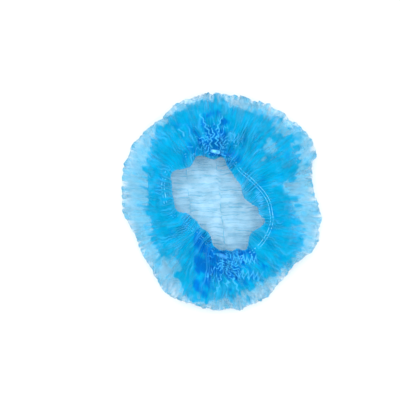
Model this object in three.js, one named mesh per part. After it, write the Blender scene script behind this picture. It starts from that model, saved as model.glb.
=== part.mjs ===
// A disposable gathered head cover of thin nonwoven cloth, puffed open and lying on its crown with the
// opening up. One sheet makes the crown, the puffed skirt, the gathered band and the frill. Two elastic
// threads run along each side of the opening, and a welded bar at each end holds the bunched pleats.
// Millimetres. +Z is up, X runs across the opening and Y from one welded end to the other.
import * as THREE from "three";

// Outer sizes of the puffed cap
const CAP_WIDTH = 279;
const CAP_LENGTH = 304;
const SKIRT_HEIGHT = 43;

// The opening, measured along the elastic, and how far its centre is from the middle of the cap
const OPENING_WIDTH = 149;
const OPENING_LENGTH = 147;
const OPENING_SHIFT_X = -5.5;
const OPENING_SHIFT_Y = -4.5;

// The sheet
const WALL = 1.1;
const GATHERS = 80;
const GATHER_DEPTH = 5;
const TUCK_RISE = 3;
const FRILL_DEPTH = 10;
const FRILL_RISE = 4;
const PLEAT_PANEL = 24.8;
const CREASE_RISE = 2.2;
const CREASE_HALF_WIDTH = 11;

// The elastic threads and the welded bars
const THREAD_DIAMETER = 1.4;
const THREAD_PITCH = 3.6;
const BAND_MARGIN = 1;
const BAR_LENGTH = 12;
const BAR_WIDTH = 5;
const BAR_THICKNESS = 2.4;
const WELD_RIBS = 5;
const WELD_RIB_DEPTH = 0.5;
const CLEARANCE = 0.3;
const THREAD_END_GAP = 0.8;

// Bearings of the two welded ends round the opening, in degrees from +X towards +Y
const BACK_END = 92;
const FRONT_END = 278;

// The puffed outline. reach is a share of half the cap's size, and tuck says how far in from the outline,
// as a share of the way to the elastic, the folded-over pleat begins.
const OUTLINE = [
  { bearing: 0, reach: 0.955, tuck: 0.57 },
  { bearing: 12, reach: 0.94, tuck: 0.58 },
  { bearing: 24, reach: 1.01, tuck: 0.5 },
  { bearing: 36, reach: 1.08, tuck: 0.42 },
  { bearing: 50, reach: 1.025, tuck: 0.34 },
  { bearing: 62, reach: 1.02, tuck: 0.38 },
  { bearing: 75, reach: 0.99, tuck: 0.3 },
  { bearing: 96, reach: 1.01, tuck: 0.24 },
  { bearing: 118, reach: 0.995, tuck: 0.3 },
  { bearing: 135, reach: 1.01, tuck: 0.42 },
  { bearing: 152, reach: 0.99, tuck: 0.52 },
  { bearing: 170, reach: 1, tuck: 0.62 },
  { bearing: 188, reach: 0.98, tuck: 0.62 },
  { bearing: 204, reach: 0.91, tuck: 0.58 },
  { bearing: 218, reach: 0.935, tuck: 0.5 },
  { bearing: 238, reach: 1, tuck: 0.4 },
  { bearing: 253, reach: 0.985, tuck: 0.26 },
  { bearing: 270, reach: 1.01, tuck: 0.3 },
  { bearing: 290, reach: 0.99, tuck: 0.42 },
  { bearing: 302, reach: 0.965, tuck: 0.4 },
  { bearing: 313, reach: 0.94, tuck: 0.42 },
  { bearing: 325, reach: 0.95, tuck: 0.5 },
  { bearing: 337, reach: 1.025, tuck: 0.58 },
  { bearing: 348, reach: 1.015, tuck: 0.6 },
];

// The elastic's loop. reach is a share of half the opening's size, frill a share of FRILL_DEPTH, rise a
// share of SKIRT_HEIGHT and gather a share of GATHER_DEPTH.
const RIM = [
  { bearing: 3, reach: 0.96, frill: 1.15, rise: 0.86, gather: 1 },
  { bearing: 14, reach: 0.89, frill: 1.3, rise: 0.88, gather: 1 },
  { bearing: 26, reach: 0.82, frill: 1.2, rise: 0.9, gather: 1 },
  { bearing: 41, reach: 0.775, frill: 1, rise: 0.92, gather: 1 },
  { bearing: 56, reach: 0.77, frill: 0.6, rise: 0.96, gather: 1.1 },
  { bearing: 72, reach: 0.88, frill: 0.3, rise: 1.02, gather: 1.4 },
  { bearing: 92, reach: 0.985, frill: 0.2, rise: 1.06, gather: 1.7 },
  { bearing: 112, reach: 1.06, frill: 0.3, rise: 1.02, gather: 1.4 },
  { bearing: 125, reach: 1.1, frill: 0.7, rise: 0.97, gather: 1.1 },
  { bearing: 140, reach: 1.13, frill: 0.8, rise: 0.93, gather: 1 },
  { bearing: 158, reach: 1.08, frill: 0.9, rise: 0.9, gather: 1 },
  { bearing: 170, reach: 1, frill: 1, rise: 0.88, gather: 1 },
  { bearing: 183, reach: 0.93, frill: 1, rise: 0.87, gather: 1 },
  { bearing: 197, reach: 0.82, frill: 1.1, rise: 0.88, gather: 1 },
  { bearing: 211, reach: 0.71, frill: 1.1, rise: 0.9, gather: 1 },
  { bearing: 229, reach: 0.66, frill: 0.9, rise: 0.93, gather: 1 },
  { bearing: 249, reach: 0.71, frill: 0.7, rise: 0.97, gather: 1.1 },
  { bearing: 264, reach: 0.84, frill: 0.4, rise: 1.02, gather: 1.4 },
  { bearing: 278, reach: 0.98, frill: 0.2, rise: 1.06, gather: 1.7 },
  { bearing: 290, reach: 1.06, frill: 0.4, rise: 1.02, gather: 1.4 },
  { bearing: 302, reach: 1.1, frill: 0.7, rise: 0.97, gather: 1.1 },
  { bearing: 316, reach: 1.1, frill: 1.2, rise: 0.92, gather: 1 },
  { bearing: 335, reach: 1.08, frill: 0.9, rise: 0.88, gather: 1 },
  { bearing: 352, reach: 1.01, frill: 1, rise: 0.86, gather: 1 },
];

// The sheet's rings from the middle of the crown to the frill's free edge. share says how far the ring is
// along its part, height is a share of SKIRT_HEIGHT (of FRILL_RISE on the frill, on top of the elastic's
// own height), gather a share of the depth, lift a share of TUCK_RISE, and facets the facets per gather.
const RINGS = [
  { part: "crown", share: 0.09, height: 0, gather: 0, lift: 0, facets: 0.5 },
  { part: "crown", share: 0.2, height: 0, gather: 0, lift: 0, facets: 1 },
  { part: "crown", share: 0.31, height: 0, gather: 0, lift: 0, facets: 1 },
  { part: "crown", share: 0.42, height: 0, gather: 0, lift: 0, facets: 1 },
  { part: "crown", share: 0.54, height: 0, gather: 0, lift: 0, facets: 1 },
  { part: "crown", share: 0.66, height: 0, gather: 0, lift: 0, facets: 1 },
  { part: "crown", share: 0.78, height: 0.02, gather: 0, lift: 0, facets: 1 },
  { part: "crown", share: 0.88, height: 0.1, gather: 0.14, lift: 0, facets: 2 },
  { part: "crown", share: 0.965, height: 0.27, gather: 0.24, lift: 0, facets: 2 },
  { part: "crown", share: 1, height: 0.52, gather: 0.34, lift: 0, facets: 2 },
  { part: "puff", share: 0.16, height: 0.8, gather: 0.4, lift: 0, facets: 2 },
  { part: "puff", share: 0.5, height: 0.96, gather: 0.5, lift: 0, facets: 2 },
  { part: "puff", share: 0.96, height: 1, gather: 0.55, lift: 0, facets: 2 },
  { part: "band", share: 0.06, height: 1, gather: 0.6, lift: 1, facets: 2 },
  { part: "band", share: 0.48, height: 0.98, gather: 0.8, lift: 1, facets: 2 },
  { part: "elastic", share: -1, height: 0, gather: 0.72, lift: 0.4, facets: 2 },
  { part: "elastic", share: 1, height: 0, gather: 0.72, lift: 0.4, facets: 2 },
  { part: "frill", share: 0.5, height: 0.6, gather: 0.9, lift: 0.2, facets: 2 },
  { part: "frill", share: 1, height: 1, gather: 1.1, lift: 0, facets: 2 },
];

// Places where the puffed skirt has sunk. span is the half width in degrees, sink a share of SKIRT_HEIGHT.
const DENTS = [
  { bearing: 18, span: 16, sink: 0.16 },
  { bearing: 47, span: 12, sink: 0.12 },
  { bearing: 120, span: 18, sink: 0.1 },
  { bearing: 205, span: 20, sink: 0.14 },
  { bearing: 240, span: 12, sink: 0.12 },
  { bearing: 312, span: 16, sink: 0.15 },
];

// How much closer together the gathers start at the welded ends than along the sides, as a share
const FANNING = 0.3;
const FULL_TURN = 360;
const ELASTIC_HALF_BAND = (THREAD_PITCH + THREAD_DIAMETER) / 2 + BAND_MARGIN;
const elasticRings = RINGS.filter((ring) => ring.part === "elastic");

const radians = THREE.MathUtils.degToRad;
const turned = (bearing) => ((bearing % FULL_TURN) + FULL_TURN) % FULL_TURN;

// The value of a table's column at any bearing, on a smooth curve through the rows and round the turn.
function around(rows, column, bearing) {
  const at = turned(bearing - rows[0].bearing) + rows[0].bearing;
  const row = (i) => {
    const turns = Math.floor(i / rows.length);
    const found = rows[i - turns * rows.length];
    return { at: found.bearing + turns * FULL_TURN, value: found[column] };
  };
  let i = 0;
  while (i + 1 < rows.length && rows[i + 1].bearing <= at) i += 1;
  const [before, from, to, after] = [row(i - 1), row(i), row(i + 1), row(i + 2)];
  const span = to.at - from.at;
  const slopeFrom = ((to.value - before.value) / (to.at - before.at)) * span;
  const slopeTo = ((after.value - from.value) / (after.at - from.at)) * span;
  const t = (at - from.at) / span;
  const rise = to.value - from.value;
  return from.value + t * (slopeFrom + t * (3 * rise - 2 * slopeFrom - slopeTo + t * (slopeFrom + slopeTo - 2 * rise)));
}

// The bearing round the opening where a gather that reaches the outline at a bearing starts.
function rimBearing(bearing) {
  return bearing - THREE.MathUtils.radToDeg(FANNING / 2) * Math.sin(2 * radians(bearing - BACK_END));
}

function outlinePoint(bearing) {
  const reach = around(OUTLINE, "reach", bearing);
  const x = (CAP_WIDTH / 2) * reach * Math.cos(radians(bearing));
  const y = (CAP_LENGTH / 2) * reach * Math.sin(radians(bearing));
  return new THREE.Vector3(x, y, 0);
}

function rimPoint(bearing) {
  const reach = around(RIM, "reach", bearing);
  const x = OPENING_SHIFT_X + (OPENING_WIDTH / 2) * reach * Math.cos(radians(bearing));
  const y = OPENING_SHIFT_Y + (OPENING_LENGTH / 2) * reach * Math.sin(radians(bearing));
  return new THREE.Vector3(x, y, 0);
}

// The level direction across the elastic, towards the middle of the opening.
function inward(bearing) {
  const step = 2;
  const along = rimPoint(bearing + step).sub(rimPoint(bearing - step)).normalize();
  return new THREE.Vector3(-along.y, along.x, 0);
}

// How far the puffed skirt has sunk at a bearing.
function sinkAt(bearing) {
  return DENTS.reduce((sum, dent) => {
    const off = Math.abs(turned(bearing - dent.bearing + FULL_TURN / 2) - FULL_TURN / 2) / dent.span;
    return off < 1 ? sum + dent.sink * Math.cos((off * Math.PI) / 2) ** 2 : sum;
  }, 0);
}

// The crown's raised creases, one for every two pleat panels, as a height above the floor.
function creaseRise(x) {
  const pitch = 2 * PLEAT_PANEL;
  const off = Math.abs(x - pitch * Math.round(x / pitch));
  return CREASE_RISE * Math.max(0, 1 - off / CREASE_HALF_WIDTH);
}

// A point of the smooth sheet, half way through its wall, with no gathers.
function sheetPoint(ring, bearing) {
  const skirt = SKIRT_HEIGHT * (1 - sinkAt(bearing) * Math.sqrt(ring.height));
  if (ring.part === "crown") {
    const point = outlinePoint(bearing).multiplyScalar(ring.share);
    const flat = ring.height === 0 ? creaseRise(point.x) : 0;
    return point.setZ(WALL / 2 + flat + skirt * ring.height);
  }
  const start = rimBearing(bearing);
  const rimHeight = WALL / 2 + SKIRT_HEIGHT * around(RIM, "rise", start);
  const across = inward(start);
  const outer = rimPoint(start).addScaledVector(across, -ELASTIC_HALF_BAND);
  const tuckLine = outlinePoint(bearing).lerp(outer, around(OUTLINE, "tuck", bearing));
  if (ring.part === "puff") return outlinePoint(bearing).lerp(tuckLine, ring.share).setZ(WALL / 2 + skirt * ring.height);
  if (ring.part === "band") {
    const level = THREE.MathUtils.lerp(WALL / 2 + skirt * ring.height, rimHeight, ring.share);
    return tuckLine.lerp(outer, ring.share).setZ(level);
  }
  const past = ring.part === "frill" ? FRILL_DEPTH * around(RIM, "frill", start) * ring.share : 0;
  const side = ring.part === "frill" ? ELASTIC_HALF_BAND : ELASTIC_HALF_BAND * ring.share;
  const edge = ring.part === "frill" ? FRILL_RISE * ring.height * around(RIM, "frill", start) : 0;
  return rimPoint(start).addScaledVector(across, side + past).setZ(rimHeight + edge);
}

// The outward direction of the smooth sheet, from its neighbours round the ring and along the cloth. The
// gathers under the elastic and on the frill stand straight up.
function sheetNormal(index, bearing) {
  const step = FULL_TURN / (2 * GATHERS);
  const ring = RINGS[index];
  if (ring.part === "elastic" || ring.part === "frill") return new THREE.Vector3(0, 0, 1);
  const round = sheetPoint(ring, bearing + step).sub(sheetPoint(ring, bearing - step));
  const ahead = sheetPoint(RINGS[Math.min(index + 1, RINGS.length - 1)], bearing);
  const along = ahead.sub(sheetPoint(RINGS[Math.max(index - 1, 0)], bearing));
  return round.cross(along).normalize();
}

// Ridge to valley of the gathers on a ring.
function gatherDepth(ring, bearing) {
  return GATHER_DEPTH * ring.gather * around(RIM, "gather", rimBearing(bearing));
}

// Half the wall measured along a gather's own direction, so that a steep gather keeps its true thickness.
function halfWall(ring, bearing) {
  const half = FULL_TURN / (2 * GATHERS);
  const run = sheetPoint(ring, bearing + half).distanceTo(sheetPoint(ring, bearing));
  const climb = ring.part === "frill" ? FRILL_RISE / FRILL_DEPTH : 0;
  return (WALL / 2) * Math.hypot(1, gatherDepth(ring, bearing) / run, climb);
}

// One closed body from the outer face, the inner face and the frill's free edge between them.
function capSheet() {
  const positions = [];
  const triangles = [];
  const add = (point) => positions.push(point.x, point.y, point.z) / 3 - 1;
  const faces = [1, -1].map((side) => {
    const middle = add(new THREE.Vector3(0, 0, creaseRise(0) + ((1 - side) * WALL) / 2));
    const rings = RINGS.map((ring, index) => {
      const count = GATHERS * ring.facets;
      return Array.from({ length: count }, (_, j) => {
        const bearing = (j * FULL_TURN) / count;
        const ridge = j % 2 === 0 ? 1 : -1;
        const normal = sheetNormal(index, bearing);
        const out = TUCK_RISE * ring.lift + (ridge * gatherDepth(ring, bearing)) / 2;
        const wall = side * halfWall(ring, bearing);
        return add(sheetPoint(ring, bearing).addScaledVector(normal, out + wall));
      });
    });
    return { middle, rings, side };
  });
  const put = (side, a, b, c) => triangles.push(...(side > 0 ? [a, b, c] : [a, c, b]));
  for (const { middle, rings, side } of faces) {
    const first = rings[0];
    first.forEach((from, j) => put(side, middle, first[(j + 1) % first.length], from));
    for (let i = 0; i + 1 < rings.length; i += 1) {
      const [near, far] = [rings[i], rings[i + 1]];
      const times = far.length / near.length;
      near.forEach((a, j) => {
        const b = near[(j + 1) % near.length];
        const c = far[j * times];
        const d = far[(j * times + 1) % far.length];
        put(side, a, d, c);
        put(side, a, b, d);
        if (times === 2) put(side, b, far[(j * times + 2) % far.length], d);
      });
    }
  }
  const [outerEdge, innerEdge] = faces.map(({ rings }) => rings[rings.length - 1]);
  outerEdge.forEach((a, j) => {
    const next = (j + 1) % outerEdge.length;
    triangles.push(a, outerEdge[next], innerEdge[j], outerEdge[next], innerEdge[next], innerEdge[j]);
  });
  const geometry = new THREE.BufferGeometry();
  geometry.setAttribute("position", new THREE.Float32BufferAttribute(positions, 3));
  geometry.setIndex(triangles);
  geometry.computeVertexNormals();
  return geometry;
}

// Where a thing lies on the gathers' ridges beside the elastic line: its place and the sheet's directions.
function onElastic(bearing, across, above) {
  const start = rimBearing(bearing);
  const towards = inward(start);
  const along = new THREE.Vector3(towards.y, -towards.x, 0);
  const ridge = Math.max(...elasticRings.map((ring) => gatherDepth(ring, bearing) / 2 + halfWall(ring, bearing)));
  const point = rimPoint(start).addScaledVector(towards, across);
  const height = WALL / 2 + SKIRT_HEIGHT * around(RIM, "rise", start);
  point.setZ(height + TUCK_RISE * elasticRings[0].lift + ridge + CLEARANCE + above);
  return { point, along, towards };
}

// How far a sheet reaches above a level, under a rectangle with its long side along a direction.
function reachAbove(sheet, centre, along, length, width) {
  const [samplesAlong, samplesAcross] = [96, 6];
  const towards = new THREE.Vector3(-along.y, along.x, 0);
  const down = new THREE.Vector3(0, 0, -1);
  const caster = new THREE.Raycaster();
  let highest = 0;
  for (let i = 0; i <= samplesAlong; i += 1) {
    for (let j = 0; j <= samplesAcross; j += 1) {
      const from = centre.clone().addScaledVector(along, (i / samplesAlong - 0.5) * length);
      from.addScaledVector(towards, (j / samplesAcross - 0.5) * width).setZ(2 * SKIRT_HEIGHT);
      caster.set(from, down);
      const hit = caster.intersectObject(sheet)[0];
      if (hit) highest = Math.max(highest, hit.point.z - centre.z);
    }
  }
  return highest;
}

// The bearing at a distance along the elastic from a welded end, one way round or the other.
function bearingPast(end, distance, way) {
  const step = 0.5;
  let [bearing, gone] = [end, 0];
  while (gone < distance) {
    const next = bearing + way * step;
    gone += onElastic(next, 0, 0).point.distanceTo(onElastic(bearing, 0, 0).point);
    bearing = next;
  }
  return bearing;
}

// One elastic thread from one welded bar to the other, with flat ends.
function elasticThread(fromEnd, toEnd, across) {
  const sides = 6;
  const steps = 32;
  const past = BAR_LENGTH / 2 + THREAD_END_GAP;
  const start = bearingPast(fromEnd, past, 1);
  const stop = bearingPast(toEnd, past, -1);
  const points = Array.from({ length: steps + 1 }, (_, k) => {
    const bearing = THREE.MathUtils.lerp(start, stop, k / steps);
    return onElastic(bearing, across, THREAD_DIAMETER / 2).point;
  });
  const section = new THREE.Shape(
    Array.from({ length: sides }, (_, k) => {
      const angle = (k / sides) * 2 * Math.PI;
      return new THREE.Vector2(Math.cos(angle), Math.sin(angle)).multiplyScalar(THREAD_DIAMETER / 2);
    }),
  );
  const extrudePath = new THREE.CatmullRomCurve3(points);
  return new THREE.ExtrudeGeometry(section, { steps, extrudePath, bevelEnabled: false });
}

// A welded bar: a flat pad with weld ribs across its top.
function weldedBar() {
  const [halfLength, halfWidth] = [BAR_LENGTH / 2, BAR_WIDTH / 2];
  const pitch = BAR_LENGTH / WELD_RIBS;
  const side = new THREE.Shape();
  side.moveTo(-halfLength, 0);
  side.lineTo(halfLength, 0);
  for (let k = WELD_RIBS; k > 0; k -= 1) {
    const right = -halfLength + k * pitch;
    side.lineTo(right, BAR_THICKNESS - WELD_RIB_DEPTH);
    side.lineTo(right - pitch * 0.3, BAR_THICKNESS);
    side.lineTo(right - pitch * 0.7, BAR_THICKNESS);
  }
  side.lineTo(-halfLength, BAR_THICKNESS - WELD_RIB_DEPTH);
  side.closePath();
  const geometry = new THREE.ExtrudeGeometry(side, { depth: BAR_WIDTH, bevelEnabled: false });
  return geometry.translate(0, 0, -halfWidth).rotateX(Math.PI / 2);
}

const clothBlue = new THREE.MeshStandardMaterial({ color: 0x3fb4ec, roughness: 0.85, metalness: 0 });
const elasticWhite = new THREE.MeshStandardMaterial({ color: 0x9fe2fb, roughness: 0.6, metalness: 0 });
const weldBlue = new THREE.MeshStandardMaterial({ color: 0x2f8fdc, roughness: 0.45, metalness: 0 });

const cap = new THREE.Group();

function place(name, geometry, material) {
  const mesh = new THREE.Mesh(geometry, material);
  mesh.name = name;
  cap.add(mesh);
  return mesh;
}

const sheet = place("cap_sheet", capSheet(), clothBlue);

for (const [name, end] of [["back", BACK_END], ["front", FRONT_END]]) {
  const bar = place(`welded_bar_${name}`, weldedBar(), weldBlue);
  const seat = onElastic(end, 0, -CLEARANCE);
  const lift = reachAbove(sheet, seat.point, seat.along, BAR_LENGTH, BAR_WIDTH);
  bar.position.copy(seat.point).setZ(seat.point.z + lift + CLEARANCE);
  bar.rotation.z = Math.atan2(seat.along.y, seat.along.x);
}

for (const [name, across] of [["outer", -THREAD_PITCH / 2], ["inner", THREAD_PITCH / 2]]) {
  place(`elastic_left_${name}`, elasticThread(BACK_END, FRONT_END, across), elasticWhite);
  place(`elastic_right_${name}`, elasticThread(FRONT_END, BACK_END + FULL_TURN, across), elasticWhite);
}

// The origin is on the floor under the middle of the cap.
const box = new THREE.Box3().setFromObject(cap, true);
const middle = box.getCenter(new THREE.Vector3());
cap.position.set(-middle.x, -middle.y, -box.min.z);

export default cap;
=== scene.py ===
"""Dresses a disposable hairnet that lies puffed open on its crown: one sheet of thin pleated nonwoven cloth,
two elastic threads along each side of its opening, and a welded bar at each end of it."""

import logging
import math
from dataclasses import dataclass
from enum import Enum
from functools import cache, reduce

import bpy
import numpy as np
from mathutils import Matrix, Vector


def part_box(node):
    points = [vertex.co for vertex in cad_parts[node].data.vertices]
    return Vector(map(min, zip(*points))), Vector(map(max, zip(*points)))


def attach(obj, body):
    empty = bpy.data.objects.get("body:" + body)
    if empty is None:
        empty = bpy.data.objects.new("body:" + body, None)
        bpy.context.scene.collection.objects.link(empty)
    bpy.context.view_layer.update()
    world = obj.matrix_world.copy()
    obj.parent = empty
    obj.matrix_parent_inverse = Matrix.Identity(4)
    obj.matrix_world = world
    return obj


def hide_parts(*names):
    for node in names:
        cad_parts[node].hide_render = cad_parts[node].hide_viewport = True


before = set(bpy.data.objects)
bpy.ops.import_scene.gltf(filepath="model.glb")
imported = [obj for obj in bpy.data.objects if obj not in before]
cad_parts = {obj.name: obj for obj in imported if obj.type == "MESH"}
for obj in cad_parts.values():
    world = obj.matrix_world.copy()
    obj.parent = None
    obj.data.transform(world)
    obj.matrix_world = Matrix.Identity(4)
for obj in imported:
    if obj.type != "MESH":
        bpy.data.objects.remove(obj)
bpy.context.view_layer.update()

MM = 0.001
FULL_TURN = 360.0
log = logging.getLogger("hairnet")


class Part(Enum):
    """The stretches of the cap's one sheet, from the middle of the crown to the frill."""

    CROWN = "crown"
    PUFF = "puff"
    BAND = "band"
    ELASTIC = "elastic"
    FRILL = "frill"


class End(Enum):
    """The two welded ends of the opening, by the bearing of each in degrees from +X towards +Y."""

    BACK = 92.0
    FRONT = 278.0


class Side(Enum):
    """The two sides of the opening that an elastic pair runs along."""

    LEFT = "left"
    RIGHT = "right"


@dataclass(frozen=True)
class OutlineRow:
    """The puffed outline at one bearing.

    reach is a share of half the cap's size, and tuck says how far in from the outline, as a share of the way
    to the elastic, the folded-over pleats begin.
    """

    bearing: float
    reach: float
    tuck: float


@dataclass(frozen=True)
class RimRow:
    """The elastic's loop at one bearing.

    reach is a share of half the opening's size, frill a share of the frill's depth, rise a share of the
    skirt's height and gather a share of the gathers' depth.
    """

    bearing: float
    reach: float
    frill: float
    rise: float
    gather: float


@dataclass(frozen=True)
class Ring:
    """One guiding ring of the sheet.

    share says how far the ring is along its part, height is a share of the skirt's height, gather and
    pucker are shares of those depths, lift a share of the tuck's rise, upright says how far the gathers
    stand straight up, layers how many thicknesses of cloth lie there, and step the spacing of the rows
    that follow, in millimetres.
    """

    part: Part
    share: float
    height: float
    gather: float
    pucker: float
    lift: float
    upright: float
    layers: float
    step: float


@dataclass(frozen=True)
class Dent:
    """A place where the skirt has sunk: span is half its width in degrees, sink a share of the height."""

    bearing: float
    span: float
    sink: float


@dataclass(frozen=True)
class Patch:
    """A soft-edged patch of more or fewer thicknesses of skirt cloth, a few of them painted shade, in
    millimetres.
    """

    x: float
    y: float
    half_x: float
    half_y: float
    layers: float


@dataclass(frozen=True)
class FoldEdge:
    """A straight folded edge across the skirt, with the folded cloth on its right, in millimetres."""

    start: tuple[float, float]
    end: tuple[float, float]
    spread: float
    rise: float
    layers: float


@dataclass(frozen=True)
class SunkRow:
    """How deep the elastic lies among the gathers at one bearing, in millimetres below their crests."""

    bearing: float
    depth: float


@dataclass(frozen=True)
class Fan:
    """The crimped pleat edges round one knot: their middle, how many there are and how far they reach.

    The lengths are in millimetres.
    """

    x: float
    y: float
    pleats: float
    reach: float


@dataclass(frozen=True)
class Zigzag:
    """A row of crimps along a folded pleat edge, in millimetres and degrees.

    x and y are its middle, turn is its direction, swing is how far each crimp goes to either side, and
    pitch is the length of one crimp.
    """

    x: float
    y: float
    turn: float
    half_length: float
    swing: float
    pitch: float


@dataclass(frozen=True)
class Crease:
    """A long crease of the pleated web across the crown, in millimetres."""

    start: tuple[float, float]
    end: tuple[float, float]
    rise: float


@dataclass(frozen=True)
class Wrinkle:
    """The crown's cross wrinkles of one pitch, in millimetres.

    width is half a wrinkle's, and the wrinkles go from none at all to their full strength as a noise goes
    from bare to full.
    """

    pitch: float
    width: float
    bare: float
    full: float
    strength: float


@dataclass(frozen=True)
class Stride:
    """How many columns the rows skip, out to a reach in millimetres."""

    reach: float
    columns: int


OUTLINE = (
    OutlineRow(0, 0.935, 0.5),
    OutlineRow(12, 0.935, 0.58),
    OutlineRow(24, 1.03, 0.3),
    OutlineRow(36, 1.07, 0.3),
    OutlineRow(50, 1.02, 0.28),
    OutlineRow(62, 1.01, 0.22),
    OutlineRow(75, 0.98, 0.18),
    OutlineRow(96, 0.98, 0.12),
    OutlineRow(118, 0.988, 0.13),
    OutlineRow(135, 0.96, 0.22),
    OutlineRow(152, 1.03, 0.54),
    OutlineRow(170, 0.99, 0.65),
    OutlineRow(188, 0.975, 0.56),
    OutlineRow(204, 0.915, 0.37),
    OutlineRow(218, 0.93, 0.34),
    OutlineRow(238, 0.99, 0.2),
    OutlineRow(253, 0.985, 0.1),
    OutlineRow(270, 1.0, 0.18),
    OutlineRow(290, 0.98, 0.33),
    OutlineRow(302, 0.965, 0.34),
    OutlineRow(313, 0.94, 0.2),
    OutlineRow(325, 0.95, 0.24),
    OutlineRow(337, 1.04, 0.28),
    OutlineRow(348, 1.01, 0.4),
)

RIM = (
    RimRow(3, 0.96, 1.65, 0.86, 1.0),
    RimRow(14, 0.89, 1.8, 0.88, 1.0),
    RimRow(26, 0.82, 2.2, 0.9, 1.0),
    RimRow(41, 0.775, 1.3, 0.92, 1.0),
    RimRow(56, 0.77, 0.85, 0.96, 1.1),
    RimRow(72, 0.88, 0.7, 1.02, 1.4),
    RimRow(82, 0.94, 0.05, 1.05, 1.6),
    RimRow(92, 0.985, 0.7, 1.06, 1.7),
    RimRow(112, 1.06, 0.3, 1.02, 1.4),
    RimRow(125, 1.1, 1.5, 0.97, 1.1),
    RimRow(140, 1.13, 0.5, 0.93, 1.0),
    RimRow(158, 1.08, 0.8, 0.9, 1.0),
    RimRow(170, 1.0, 0.85, 0.88, 1.0),
    RimRow(183, 0.93, 0.8, 0.87, 1.0),
    RimRow(197, 0.82, 0.6, 0.88, 1.0),
    RimRow(211, 0.71, 1.2, 0.9, 1.0),
    RimRow(229, 0.66, 0.75, 0.93, 1.0),
    RimRow(249, 0.71, 0.8, 0.97, 1.1),
    RimRow(264, 0.84, 0.1, 1.02, 1.4),
    RimRow(278, 0.98, 0.5, 1.06, 1.7),
    RimRow(290, 1.06, 0.85, 1.02, 1.4),
    RimRow(302, 1.1, 0.5, 0.97, 1.1),
    RimRow(316, 1.1, 1.6, 0.92, 1.0),
    RimRow(335, 1.08, 1.05, 0.88, 1.0),
    RimRow(344, 1.055, 0.5, 0.87, 1.0),
    RimRow(353, 1.005, 1.3, 0.86, 1.0),
)

RINGS = (
    Ring(Part.CROWN, 0.012, 0, 0, 0, 0, 0, 0.62, 2.2),
    Ring(Part.CROWN, 0.2, 0, 0, 0, 0, 0, 0.62, 2.2),
    Ring(Part.CROWN, 0.4, 0, 0, 0, 0, 0, 0.64, 2.2),
    Ring(Part.CROWN, 0.6, 0, 0, 0.1, 0, 0, 0.67, 4.4),
    Ring(Part.CROWN, 0.78, 0.02, 0.08, 0.4, 0, 0, 0.7, 3.6),
    Ring(Part.CROWN, 0.88, 0.1, 0.45, 0.8, 0, 0, 0.72, 3.2),
    Ring(Part.CROWN, 0.965, 0.27, 0.65, 0.9, 0, 0, 0.74, 3.0),
    Ring(Part.CROWN, 1.0, 0.52, 0.38, 1.0, 0, 0, 0.68, 2.8),
    Ring(Part.PUFF, 0.16, 0.8, 0.5, 1.2, 0, 0.1, 0.66, 2.8),
    Ring(Part.PUFF, 0.5, 0.96, 0.5, 1.2, 0, 0.2, 0.68, 2.6),
    Ring(Part.PUFF, 0.96, 1.0, 0.5, 1.1, 0.3, 0.3, 0.8, 1.8),
    Ring(Part.BAND, 0.06, 1.0, 0.55, 1.2, 0.7, 0.4, 2.4, 2.1),
    Ring(Part.BAND, 0.48, 0.98, 0.7, 1.2, 1, 0.7, 3.1, 2.0),
    Ring(Part.ELASTIC, -1.0, 0, 0.8, 0.1, 0.4, 1, 3.7, 1.6),
    Ring(Part.ELASTIC, 1.0, 0, 0.8, 0.1, 0.4, 1, 3.6, 1.7),
    Ring(Part.FRILL, 0.5, 0.6, 0.9, 0.2, 0.2, 1, 3.1, 1.7),
    Ring(Part.FRILL, 1.0, 1.0, 0.8, 0.3, 0, 1, 2.0, 1.7),
)

DENTS = (
    Dent(18, 16, 0.16),
    Dent(47, 12, 0.12),
    Dent(120, 18, 0.1),
    Dent(205, 20, 0.14),
    Dent(240, 12, 0.12),
    Dent(312, 16, 0.15),
)

PATCHES = (
    Patch(68, 74, 12, 12, -1.8),
    Patch(57, 54, 12, 9, -0.8),
    Patch(13, 134, 16, 6, -1.2),
    Patch(-8, 124, 14, 16, 1.8),
    Patch(-8, 100, 30, 14, 0.8),
    Patch(90, 78, 12, 14, 1.6),
    Patch(104, 90, 11, 14, 0.7),
    Patch(126, 48, 12, 12, 1.0),
    Patch(74, 112, 24, 12, 1.1),
    Patch(-46, 108, 26, 14, 1.2),
    Patch(-66, -92, 14, 15, -1.5),
    Patch(-66, -118, 15, 15, -1.3),
    Patch(-30, -130, 16, 8, 1.0),
    Patch(-47, -122, 8, 11, 0.8),
    Patch(-84, -84, 9, 10, 0.7),
    Patch(-99, -37, 9, 8, 1.0),
    Patch(37, -138, 8, 5, 1.3),
    Patch(90, 20, 14, 10, -0.8),
    Patch(84, 36, 9, 7, 0.7),
    Patch(98, -12, 11, 12, -0.7),
    Patch(98, -44, 14, 14, -0.8),
    Patch(92, -86, 14, 12, 1.2),
    Patch(16, -136, 12, 5, -1.0),
    Patch(15, -100, 40, 22, 0.8),
    Patch(34, -108, 20, 12, 1.0),
    Patch(44, -80, 16, 8, 1.1),
    Patch(-19, -80, 15, 18, 1.6),
    Patch(-24, -116, 13, 18, 1.6),
    Patch(-7, 86, 17, 12, 1.6),
    Patch(8, -93, 13, 14, 1.8),
    Patch(-5, 59, 17, 4, -2.0),
    # The next two patches are painted shade laid on as extra cloth: the dark line under the back weld, and
    # the frill's shaded underside right of the front weld.
    Patch(-3, 64, 14, 2, 3.0),
    Patch(30, -70, 17, 4, 1.8),
    Patch(-130, -5, 14, 60, -0.28),
    Patch(134, -8, 12, 34, -0.2),
    Patch(62, -124, 16, 10, -0.9),
)

# Where a patch starts to fade and where it has faded, as shares of its half sizes.
PATCH_FADE = (0.4, 1.5)

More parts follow.
